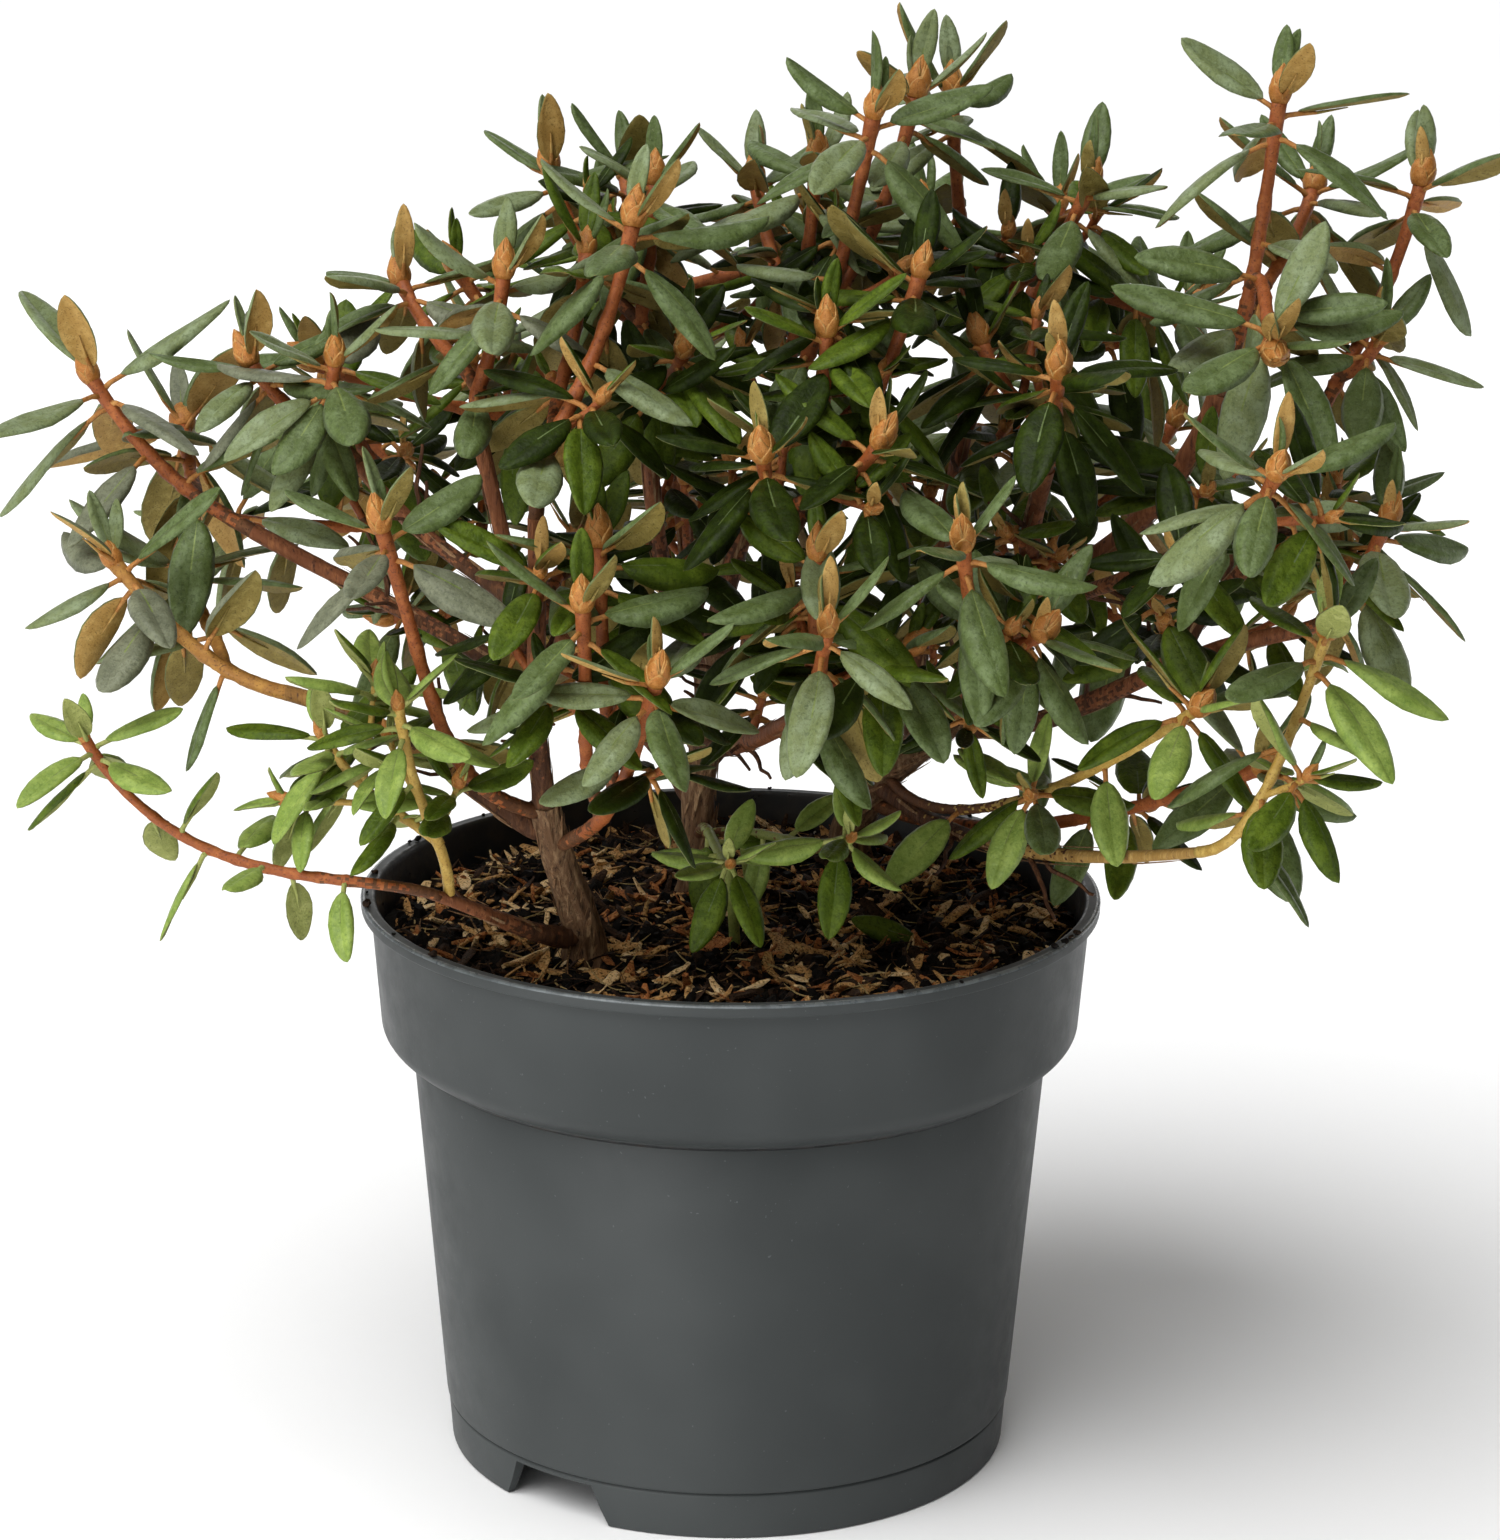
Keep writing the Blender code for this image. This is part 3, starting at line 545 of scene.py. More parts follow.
def clear_path(space, foot, end, bend, radii, form, but=(), bud=True):
    """The path with the least sideways shift at its bend that keeps it clear of all other solids."""
    heading = (Vector(end) - foot[0]).normalized()
    shifts = [ORIGIN]
    for size in BEND_SHIFTS:
        for step in range(BEND_TURNS):
            shifts.append(around(heading, step * math.tau / BEND_TURNS, math.pi / 2) * size)
    for shift in shifts:
        path = Path(foot, end, bend, radii, shift)
        if not space.touched(path.tube(*form, bud=bud, grow=GAP), but=but):
            return path
    return Path(foot, end, bend, radii)


@dataclass
class Shoot:
    """A leafy twig of one mass.

    Whorl and along are the numbers of leaves round its bud and below them. Length is that of a full leaf,
    turn is where its lowest leaf looks, and bud the share of a full bud.
    """

    mass: str
    owner: str
    path: Path
    whorl: int
    along: int
    length: float
    turn: float
    bud: float


def grow_limbs(space):
    limbs = {}
    for name, (foot, top, bend, *radii) in TRUNKS.items():
        limbs[name] = Path((Vector((*foot, SOIL_TOP + GAP)), UP, UP), top, bend, radii)
        space.add(name, limbs[name].tube(TRUNK_SIDES, TRUNK_RINGS, flare=FLARE))
    form = (BOUGH_SIDES, BOUGH_RINGS)
    for name, (parent, along, tip, bend, *radii) in BOUGHS.items():
        foot = seat(space, parent, limbs[parent], along, tip, radii[0])
        limbs[name] = clear_path(space, foot, tip, bend, radii, form, bud=False)
        space.add(name, limbs[name].tube(*form))
    return limbs


def grow_shoots(limbs, space):
    """Each mass's stem to its first shoot, and a twig from it to each of the others."""
    shoots = []
    for name, (parent, along, length, stem_leaves, tips) in MASSES.items():
        tip = tips[0][:3]
        foot = seat(space, parent, limbs[parent], along, tip, STEM_RADII[0])
        bend = LONG_BENDS.get(name, STEM_BEND)
        stem = clear_path(space, foot, tip, bend, STEM_RADII, STEM_FORM)
        space.add(name, stem.tube(*STEM_FORM, bud=True))
        bud = SMALL_BUD if name in FRESH else 1.0
        leaves = stem_leaves + EXTRA_STEM_LEAVES
        shoots.append(Shoot(name, name, stem, FULL_WHORL, leaves, length, tips[0][3], bud))
        for number, (*tip, turn) in enumerate(tips[1:]):
            fork = FIRST_FORK + FORK_STEP * number
            _, way = fork_way(stem, fork, tip)
            foot = (stem.inside(fork, STEM_FORM[1]), way, way)
            path = clear_path(space, foot, tip, TWIG_BEND, TWIG_RADII, TWIG_FORM, but=(name,))
            space.add(name, path.tube(*TWIG_FORM, bud=True))
            shoots.append(Shoot(name, name, path, FULL_WHORL, TWIG_LEAVES, length, turn, bud))
    return shoots


def side_spurs(shoots, limbs, space):
    """Short side shoots that fork off the stems, twigs and boughs, each with a smaller whorl."""
    chance = random.Random(SEED)
    bearers = [
        (shoot.mass, shoot.path, shoot.length, 1, SHOOT_SPAN)
        for shoot in shoots
        if shoot.mass not in FRESH and not shoot.mass.startswith(OPEN_MASSES)
    ]
    for name, (parent, _, length, *_) in MASSES.items():
        if parent in BOUGHS and parent not in LOW_BOUGHS and not name.startswith(SIDES["left"]):
            count = 1 if name.startswith(OPEN_MASSES) else 2
            bearers.append((name, limbs[parent], length, count, BOUGH_SPAN))
    for shoot in shoots:
        if shoot.mass in SPURRED:
            bearers.append((shoot.mass, shoot.path, shoot.length, 2, SPURRED_SPAN))
    spurs = []
    for mass, path, length, count, (low, high) in bearers:
        for number in range(count):
            along = low + (high - low) * (number + chance.uniform(0.15, 0.85)) / count
            spur = open_spur(space, chance, mass, path, along, length, f"{mass} spur {len(spurs)}")
            if spur:
                spurs.append(spur)
                space.add(spur.owner, spur.path.tube(*TWIG_FORM))
    return spurs


def open_spur(space, chance, mass, path, along, length, owner):
    """A side shoot from this spot in the first tried direction that has room, or nothing."""
    spot, heading = path.point(along), path.heading(along)
    reach = chance.uniform(*SPUR_REACH)
    first_turn = chance.uniform(0.0, math.tau)
    bearers = {name for name, _ in space.kept if name == mass or name.startswith("bough")}
    for attempt in range(SPUR_TRIES):
        way = around(heading, first_turn + LEAF_TURN * attempt, SPUR_OPENING)
        way = (way + UP * SPUR_RISE).normalized()
        tip = spot + way * reach
        spur = Path((spot, way, way), tip, SPUR_BEND, SPUR_RADII)
        if inside_crown([tip + way * SPUR_ROOM]) and not space.touched(spur.tube(*TWIG_FORM), but=bearers):
            size = chance.uniform(*SPUR_SIZE)
            turn = chance.uniform(0.0, 360.0)
            return Shoot(mass, owner, spur, SPUR_WHORL, 1, length * size, turn, SPUR_BUD)
    return None


# Meshes


def put(name, data):
    """A new object in the scene."""
    obj = bpy.data.objects.new(name, data)
    bpy.context.scene.collection.objects.link(obj)
    return obj


def ring_faces(sides, rings):
    """Corners and corner counts of a tube of quads with a face at each end."""
    grid = np.arange(sides * rings).reshape(rings, sides)
    after = np.roll(grid, -1, axis=1)
    quads = np.stack([grid[:-1], after[:-1], after[1:], grid[1:]], axis=-1).reshape(-1)
    corners = np.concatenate([quads, grid[0][::-1], grid[-1]])
    counts = np.concatenate([np.full(sides * (rings - 1), 4), [sides, sides]])
    return corners, counts


class Heap:
    """Many small shapes gathered into one mesh."""

    def __init__(self):
        self.points = []
        self.corners = []
        self.counts = []
        self.slots = []
        self.size = 0

    def add(self, points, faces, slots):
        """Faces are corners and corner counts. Slots is one material number, or one for each face."""
        corners, counts = faces
        self.points.append(np.asarray(points, float).reshape(-1, 3))
        self.corners.append(corners + self.size)
        self.counts.append(counts)
        self.slots.append(np.broadcast_to(slots, counts.shape))
        self.size += len(self.points[-1])

    def rings(self, points, slots=0):
        """A tube given as an array of rings of points, closed at both ends."""
        count, sides = points.shape[:2]
        self.add(points, ring_faces(sides, count), slots)

    def piece(self, name, materials, slot, sharp=None):
        """The finished object, in metres, riding on the part's one body."""
        mesh = bpy.data.meshes.new(name)
        points = np.concatenate(self.points) * MM
        corners = np.concatenate(self.corners)
        counts = np.concatenate(self.counts)
        mesh.vertices.add(len(points))
        mesh.vertices.foreach_set("co", points.ravel())
        mesh.loops.add(len(corners))
        mesh.loops.foreach_set("vertex_index", corners)
        mesh.polygons.add(len(counts))
        mesh.polygons.foreach_set("loop_start", np.cumsum(counts) - counts)
        for material in materials:
            mesh.materials.append(material)
        mesh.polygons.foreach_set("material_index", np.concatenate(self.slots))
        mesh.update(calc_edges=True)
        mesh.validate()
        mesh.shade_smooth()
        if sharp:
            mesh.set_sharp_from_angle(angle=math.radians(sharp))
        obj = put(name, mesh)
        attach(obj, "root")
        return obj


def unit(rows):
    return rows / np.linalg.norm(rows, axis=-1, keepdims=True)


def side_frames(line, first_side):
    """Two directions square to a line at each of its points, carried along it without twisting."""
    headings = unit(np.gradient(line, axis=0))
    sides = np.empty_like(line)
    side = np.asarray(first_side, float)
    for number, heading in enumerate(headings):
        side = side - heading * side.dot(heading)
        side = side / np.linalg.norm(side)
        sides[number] = side
    return sides, np.cross(headings, sides)


def circles(across, deep, sides):
    """Rings of points of radius one, a ring for each row of the two directions."""
    turns = np.arange(sides) * math.tau / sides
    return across[:, None] * np.cos(turns)[None, :, None] + deep[:, None] * np.sin(turns)[None, :, None]


def swept(line, radii, sides, first_side):
    """Rings of points round a line. Radii has one row for each ring, with one radius or one for each side."""
    return line[:, None] + circles(*side_frames(line, first_side), sides) * radii[..., None]


def turned(out, turn, up):
    """Points at these distances from the Z axis, turns round it and heights."""
    return np.stack(np.broadcast_arrays(out * np.cos(turn), out * np.sin(turn), up), axis=-1)


def line_of(path, spacing, before=()):
    """Points along a path, a set distance apart, after any that lead in to it, and each one's share."""
    count = max(4, round(path.length() / spacing))
    shares = np.arange(count + 1) / count
    points = [np.array(point) for point in before] + [np.array(path.point(share)) for share in shares]
    return np.array(points), np.concatenate([np.zeros(len(before)), shares])


def rough(points, scale, stretch=1.0):
    """Smooth noise at each point, from about -1 to 1, drawn out along Z by the stretch."""
    flat = points.reshape(-1, 3) / scale
    flat[:, 2] /= stretch
    values = [noise.noise(Vector(point)) for point in flat]
    return np.array(values).reshape(points.shape[:-1])


def layered(points, layers):
    """Noise of several sizes added up. A layer is its share and its size, and its stretch if it has one."""
    return sum(share * rough(points, *layer) for share, *layer in layers)


# Wood

BARK_FIBRES = ((0.55, 0.8, 16.0), (0.7, 2.0, 8.0))
SKIN_TURNS = 0.5


def add_limb(heap, path, skin, foot, swell, relief, slots, thin=0.0):
    """A trunk or bough whose skin has long fibres and a few swellings. It starts inside what bears it.

    Its skin turns from the first of its two materials to the second further out; on boughs the first is a
    darker bark that is painted shade.
    """
    sides, spacing = skin
    line, shares = line_of(path, spacing, before=foot)
    steps = np.linalg.norm(np.diff(line, axis=0), axis=1)
    run = np.concatenate([[0.0], np.cumsum(steps)])
    turns = np.arange(sides) * math.tau / sides
    base = path.radius(shares) * (1.0 - thin * shares)
    base = base * (1.0 + swell * np.exp(-run / FLARE_HEIGHT))
    cells = turned(base[:, None], turns[None], run[:, None]) + np.array([path.start.x, path.start.y, 0.0])
    fibres = layered(cells, BARK_FIBRES)
    knots = 0.07 + 0.24 * swell * np.exp(-run / 7.0)
    radii = base[:, None] * (1.0 + relief * fibres + knots[:, None] * rough(cells, 6.0, 1.6))
    rings = swept(line, radii, sides, any_side(path.heading(0.0)))
    out = shares[1:, None] + rough(rings[1:], 1.1) * SKIN_TURNS
    skin = np.where(out > SHADED_UNTIL, slots[1], slots[0]).reshape(-1)
    heap.rings(rings, np.concatenate([skin, slots]))


# A flake's taper, and its section's corners: millimetres off the skin, and shares of its width along it
FLAKE_TAPER = np.array([0.5, 1.0, 0.9, 1.0, 0.7, 0.2])
FLAKE_CORNERS = np.array([(0.12, -1.0), (0.16, 0.0), (0.12, 1.0), (-0.12, 0.0)])


def add_flakes(heap, path, count, chance):
    """Thin strips of bark that lift off a limb along its fibres."""
    for _ in range(count):
        low = chance.uniform(0.02, 0.86)
        high = min(low + chance.uniform(0.04, 0.2), 0.97)
        turn = chance.uniform(0.0, math.tau)
        width = chance.uniform(0.15, 0.5)
        lift = chance.uniform(0.04, 0.22) * path.radius(low)
        spots, last = [], len(FLAKE_TAPER) - 1
        for step in range(last + 1):
            along = low + (high - low) * step / last
            out = around(path.heading(along), turn + 0.12 * step * lift, math.pi / 2)
            height = path.radius(along) * 1.02 + lift * (step / last) ** 2 + 0.1
            spots.append(np.array(path.point(along) + out * height))
        line = np.array(spots)
        across, deep = side_frames(line, around(path.heading(low), turn, math.pi / 2))
        ring = across[:, None] * FLAKE_CORNERS[:, :1] + deep[:, None] * FLAKE_CORNERS[:, 1:] * width
        heap.rings(line[:, None] + ring * FLAKE_TAPER[:, None, None], BARK_FLAKE)


def add_bare_twigs(heap, path, chance):
    """Fine dry twigs without leaves, which stand off a limb between its forks."""
    for _ in range(BARE_TWIGS):
        along = chance.uniform(0.2, 0.85)
        spot, heading = path.point(along), path.heading(along)
        way = (around(heading, chance.uniform(0.0, math.tau), math.radians(52.0)) + UP * 0.2).normalized()
        tip = spot + way * chance.uniform(9.0, 24.0)
        if not inside_crown([tip]):
            continue
        twig = Path((spot, way, way), tip, (0.5, 0.7), (0.8, 0.4))
        line, shares = line_of(twig, 1.6)
        rings = swept(line, twig.radius(shares)[:, None], BARE_TWIG_SIDES, any_side(way))
        bent = np.stack([rough(line + shift, 6.0) for shift in (0.0, 50.0, -50.0)], axis=-1)
        # Bare twigs take the darker bark that is painted shade
        heap.rings(rings + (bent - bent[0])[:, None] * 1.6, BARK_SHADED)


def make_wood(limbs, materials):
    chance = random.Random(SEED + 1)
    heap = Heap()
    for name, path in limbs.items():
        if name in TRUNKS:
            foot = [path.start - UP * TRUNK_ROOTED, path.start - UP * TRUNK_ROOTED / 2]
            add_limb(heap, path, TRUNK_SKIN, foot, TRUNK_SWELL, TRUNK_RELIEF, (BARK_OLD, BARK_OLD))
            add_flakes(heap, path, TRUNK_FLAKES, chance)
        else:
            parent, along = BOUGHS[name][:2]
            spot = limbs[parent].point(min(along, 0.98))
            foot = [spot, (spot + path.start) / 2]
            slots = (BARK_SHADED, OUTER_BARK.get(name, BARK_RED))
            thin = LOW_THIN if name in LOW_BOUGHS else 0.0
            add_limb(heap, path, BOUGH_SKIN, foot, BOUGH_SWELL, BOUGH_RELIEF, slots, thin)
            add_flakes(heap, path, BOUGH_FLAKES, chance)
        add_bare_twigs(heap, path, chance)
    wood = heap.piece("wood", materials, "bark", sharp=50)
    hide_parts(*TRUNKS, *BOUGHS)


# Leaves

# Where the blade's rings lie along it, and its points across: eight above from edge to edge, five below
BLADE_RINGS = np.array([0.0, 0.05, 0.14, 0.28, 0.45, 0.63, 0.79, 0.9, 0.965, 1.0])
ABOVE = np.array([-1.0, -0.84, -0.42, -0.04, 0.04, 0.42, 0.84, 1.0])
ABOVE_HEIGHT = np.array([-0.46, -0.15, 0.04, -0.1, -0.1, 0.04, -0.15, -0.46])
BELOW = np.array([0.95, 0.5, 0.0, -0.5, -0.95])
BELOW_HEIGHT = np.array([-0.4, -0.02, -0.05, -0.02, -0.4])
BLADE_SIDES = len(ABOVE) + len(BELOW)
BLADE_THICK = 0.55
EDGE_THICK = 0.6
# Where the stalk's rings lie, in its own lengths, how thick they are and how far under the blade
RIB_RINGS = np.array([0.0, 0.5, 1.0, 1.8, 3.2])
RIB_RADII = np.array([0.95, 0.7, 0.66, 0.45, 0.15])
RIB_DROP = np.array([0.1, 0.15, 0.6, 1.25, 1.1])
RIB_SIDES = 5
LINE_STEPS = 24

# Material numbers on the leaves
# The pale blade colour is painted light on lit sprays, and the dark blade colour is painted shade on shaded
# sprays
LIT_PALE, GLAUCOUS, GREEN, SHADED_DARK, BRIGHT, RIB, KHAKI, GOLD, LIME, PETIOLE, EDGE, BRONZE = range(12)


def blade_widths(share):
    """Half the width there, as a share of the widest."""
    return np.maximum(np.sin(math.pi * share**0.9), 0.0) ** 0.6 * 0.975 + 0.025


def leaf_line(base, heading, face, length, bend, sway, twist):
    """A function from shares of the leaf's length to its middle and the directions across and up there."""
    steps = np.linspace(0.0, 1.0, LINE_STEPS + 1)
    pitch = STALK_LIFT * np.exp(-steps / 0.13) + bend * steps**1.2
    yaw = sway * steps
    side = np.cross(heading, face)
    tangent = (
        heading * (np.cos(pitch) * np.cos(yaw))[:, None]
        + side * (np.cos(pitch) * np.sin(yaw))[:, None]
        + face * np.sin(pitch)[:, None]
    )
    walked = np.cumsum(tangent[:-1] + tangent[1:], axis=0) / (2 * LINE_STEPS)
    line = base + np.concatenate([np.zeros((1, 3)), walked]) * length

    def at(shares):
        middle, ahead = (
            np.stack([np.interp(shares, steps, rows[:, axis]) for axis in range(3)], axis=-1)
            for rows in (line, tangent)
        )
        ahead = unit(ahead)
        across = unit(np.cross(ahead, face))
        up = np.cross(across, ahead)
        turn = (twist * shares)[:, None]
        sine, cosine = np.sin(turn), np.cos(turn)
        return middle, across * cosine + up * sine, up * cosine - across * sine

    return at


def add_leaf(heap, chance, base, heading, face, length, bend, tone, wide=1.0):
    """A closed oblong blade with a sunken midrib and edges that curl under, on its stalk."""
    base, heading, face = (np.array(vector) for vector in (base, heading, face))
    sway = chance.uniform(-LEAF_SWAY, LEAF_SWAY)
    twist = chance.uniform(-LEAF_TWIST, LEAF_TWIST)
    at = leaf_line(base, heading, face, length, bend, sway, twist)
    middle, across, up = at(PETIOLE_SHARE + (1.0 - PETIOLE_SHARE) * BLADE_RINGS)
    curl = chance.uniform(*LEAF_CURL)
    fold = chance.uniform(*LEAF_FOLD)
    half = length * LEAF_HALF_WIDTH * chance.uniform(*LEAF_WIDTHS) * wide * blade_widths(BLADE_RINGS)
    half = (half * (1.0 - FOLD_NARROWS * abs(fold)))[:, None]
    wave = np.sin(BLADE_RINGS * chance.uniform(*LEAF_WAVES) + chance.uniform(0.0, 6.0))[:, None] * LEAF_WAVE
    places = np.concatenate([ABOVE, BELOW])
    heights = np.concatenate([ABOVE_HEIGHT, BELOW_HEIGHT])
    heights = np.where(np.abs(places) > 0.6, heights * curl, heights) + fold * np.abs(places)
    heights = heights + wave * np.sign(places) * np.abs(places)
    lower = np.concatenate([np.zeros(len(ABOVE)), np.full(len(BELOW), BLADE_THICK)])
    lower[[len(ABOVE), -1]] *= EDGE_THICK
    thin = np.clip(half / half.max() * 2.0, 0.15, 1.0)
    points = (
        middle[:, None]
        + across[:, None] * (places * half)[..., None]
        + up[:, None] * (heights * half - lower * thin)[..., None]
    )
    top, under, stalk = tone
    row = [top] * (len(ABOVE) - 1) + [EDGE] + [under] * (len(BELOW) - 1) + [EDGE]
    slots = np.array(row * (len(BLADE_RINGS) - 1) + [under, under])
    rib = len(ABOVE) // 2 - 1
    slots[rib : 4 * BLADE_SIDES : BLADE_SIDES] = GLAUCOUS if top in (GREEN, SHADED_DARK) else RIB
    heap.rings(points, slots)
    add_stalk(heap, at, under, stalk)


def add_stalk(heap, at, under, stalk):
    """The leaf's stalk, which runs on under the blade as its raised midrib."""
    middle, across, up = at(PETIOLE_SHARE * RIB_RINGS)
    ring = circles(across, up, RIB_SIDES) * RIB_RADII[:, None, None]
    points = middle[:, None] - up[:, None] * RIB_DROP[:, None, None] + ring
    heap.rings(points, np.repeat([stalk, stalk, stalk, under, stalk, under], [RIB_SIDES] * 4 + [1, 1]))


# How far leaves and twigs keep above the pot's rim and inside its collar
RIM_ROOM = 2.0
COLLAR_ROOM = 6.0


def inside_crown(points):
    """Within the crown's space, and clear of the pot's rim."""
    for point in points:
        if abs(point.x) > CROWN_HALF_WIDTH or abs(point.y) > CROWN_HALF_DEPTH:
            return False
        if not CROWN_FOOT < point.z < CROWN_TOP:
            return False
        if point.z < RIM_TOP + RIM_ROOM and math.hypot(point.x, point.y) > COLLAR_RADIUS - COLLAR_ROOM:
            return False
        for low, high in OPEN_SPACES:
            if all(least < value < most for least, value, most in zip(low, point, high)):
                return False
    return True


def leaf_room(base, heading, face, length):
    """A thin keeled solid inside the blade, for telling if it has room."""
    side = heading.cross(face).normalized()
    half = length * LEAF_HALF_WIDTH * 0.85
    outline = ((0.22, 0.0), (0.4, 1.0), (0.8, 1.0), (1.0, 0.0), (0.8, -1.0), (0.4, -1.0))
    points = [base + heading * length * along + side * half * across for along, across in outline]
    centre = base + heading * length * 0.6
    points += [centre - face * 0.7, centre + face * 0.4]
    faces = [((corner + 1) % 6, corner, 6) for corner in range(6)]
    faces += [(corner, (corner + 1) % 6, 7) for corner in range(6)]
    return points, faces


def leaf_face(axis, heading):
    """The blade's upper side looks up to the light, and a little along the shoot's axis."""
    look = UP + axis * 0.4
    return (look - heading * look.dot(heading)).normalized()


def whorl_axis(shoot):
    """The way the whorl and its bud look: up from the shoot's own heading."""
    return (shoot.path.heading(1.0) + UP * WHORL_UP).normalized()


def whorl_places(shoot):
    """Foot, axis, turn, opening, droop, length and bend of each leaf of a whorl, the outer ones first."""
    path = shoot.path
    axis = whorl_axis(shoot)
    depth = WHORL_DEPTH * (WHORL_SHARE + (1.0 - WHORL_SHARE) * shoot.bud)
    if shoot.whorl == FULL_WHORL and shoot.mass not in FRESH:
        length = shoot.length * (GOLDEN_UPRIGHT if shoot.mass in GOLDEN else UPRIGHT_LENGTH)
        yield path.point(1.0), axis, UPRIGHT_TURN, UPRIGHT_OPENING, 0.0, length, UPRIGHT_BEND
    for step in range(shoot.whorl):
        share = step / (shoot.whorl - 1)
        yield (
            path.point(1.0 - min(depth * (1.0 - share) / path.length(), 0.6)),
            axis,
            math.radians(shoot.turn) + LEAF_TURN * step,
            OUTER_OPENING + (INNER_OPENING - OUTER_OPENING) * share**2.1,
            OUTER_DROOP * (1.0 - share) ** 2,
            shoot.length * (1.0 + (INNER_LENGTH - 1.0) * share**5),
            OUTER_BEND + (INNER_BEND - OUTER_BEND) * share,
        )


def leafy_spots(shoot):
    """Shares of a shoot's length at which the leaves below its whorl leave it."""
    return [LEAFY_FROM + LEAFY_SPAN * (step + 0.5) / shoot.along for step in range(shoot.along)]


def stem_places(shoot):
    """The same as for a whorl, for the leaves that hang from a stem below it."""
    path = shoot.path
    for step, along in enumerate(leafy_spots(shoot)):
        turn = math.radians(shoot.turn) + LEAF_TURN * (step + 3)
        droop = FRESH_LEAF_DROOP if shoot.mass in FRESH else STEM_LEAF_DROOP
        length = shoot.length * STEM_LEAF_LENGTH
        yield path.point(along), path.heading(along), turn, STEM_LEAF_OPENING, droop, length, STEM_LEAF_BEND


# A spray whose tip is this far out, as a share of the crown, is paler: painted light on the crown's lit
# outside
SPRAY_REACH = (150.0, 115.0)
SPRAY_MIDDLE = 170.0
SPRAY_RISE = 160.0
OUTSIDE = 0.82
OUTERMOST = 0.95
PALE_CHANCE = 0.7


def spray_tones(shoot, chance):
    """The blade's upper and under colours that the leaves of one spray are dealt from. Upper sides are
    painted paler on the crown's outside and left side as painted light, and darker on deep sprays and spurs
    as painted shade.
    """
    tip = shoot.path.end
    wide, deep = SPRAY_REACH
    out = max(math.hypot(tip.x / wide, tip.y / deep), (tip.z - SPRAY_MIDDLE) / SPRAY_RISE)
    if shoot.mass in FRESH:
        return (BRIGHT, BRIGHT, GREEN), (LIME,)
    if shoot.mass in GOLDEN:
        return (GREEN, BRIGHT, GLAUCOUS), (KHAKI, LIME)
    # Spurs and deep masses get the dark tone as painted shade
    if shoot.bud < 1.0 or shoot.mass in DEEP_SHADED:
        return (SHADED_DARK, GREEN, SHADED_DARK), (KHAKI, KHAKI)
    # The left side gets the pale tone as painted light
    if shoot.mass.startswith("foliage_left"):
        return (LIT_PALE, LIT_PALE, LIT_PALE, GLAUCOUS, GLAUCOUS, BRONZE), (GOLD, KHAKI, KHAKI)
    # Sprays far out get the pale tone as painted light
    if shoot.mass.startswith(("foliage_right", "foliage_top")) and out > OUTSIDE:
        return (LIT_PALE, GLAUCOUS, GLAUCOUS), (GOLD, KHAKI, KHAKI)
    if out > OUTERMOST or (out > OUTSIDE and chance.random() < PALE_CHANCE):
        return (LIT_PALE, LIT_PALE, GLAUCOUS, GLAUCOUS), (GOLD, KHAKI, KHAKI)
    return (GLAUCOUS, GREEN, GREEN), (KHAKI, KHAKI)


def place_leaves(shoots, space, heaps):
    """Sets each leaf where it has room, the main whorls first. Those of one whorl may meet at their feet."""
    chance = random.Random(SEED + 2)
    rounds = [(shoot, places(shoot)) for places in (whorl_places, stem_places) for shoot in shoots]
    for number, (shoot, places) in enumerate(rounds):
        tops, unders = spray_tones(shoot, chance)
        owner = f"round {number}"
        for base, axis, turn, opening, droop, length, bend in places:
            length *= LEAF_SCALE * LONG_LEAVES.get(shoot.mass, 1.0) * chance.uniform(*LEAF_LENGTHS)
            droop *= chance.uniform(*LEAF_DROOPS)
            for attempt in range(LEAF_TRIES):
                swing = LEAF_SWING * (0.4 + attempt * 0.5)
                heading = around(
                    axis,
                    turn + chance.uniform(-swing, swing),
                    opening + chance.uniform(-swing, swing) * 0.7,
                )
                heading = (heading - UP * droop).normalized()
                roll = Matrix.Rotation(chance.uniform(-LEAF_ROLL, LEAF_ROLL), 3, heading)
                face = roll @ leaf_face(axis, heading)
                room = leaf_room(base, heading, face, length)
                if inside_crown(room[0]) and not space.touched(room, but=(shoot.owner, owner)):
                    space.add(owner, room)
                    upright = opening < GOLD_OPENING and shoot.mass not in FRESH + GOLDEN
                    under = GOLD if upright and chance.random() < GOLD_CHANCE else chance.choice(unders)
                    tone = chance.choice(tops), under, LIME if shoot.mass in FRESH else PETIOLE
                    bend += chance.uniform(-LEAF_BEND, LEAF_BEND)
                    wide = GOLD_WIDTH if upright else 1.0
                    add_leaf(heaps[shoot.mass], chance, base, heading, face, length, bend, tone, wide)
                    break


def add_fallen(heap, chance):
    """The round leaf that lies half in the peat in front of the middle."""
    foot, way = Vector((50.0, -18.0, SOIL_TOP - 1.0)), Vector((-0.86, -0.3, 0.4)).normalized()
    look = Vector((0.0, -0.75, 0.66))
    face = (look - way * look.dot(way)).normalized()
    add_leaf(heap, chance, foot, way, face, FALLEN_LENGTH, STEM_LEAF_BEND, (GREEN, LIME, LIME))


# Twigs and buds

# Material numbers on the twigs
RED_TWIG, BROWN_TWIG, GOLD_TWIG, GREEN_TWIG, AMBER_TWIG = range(5)


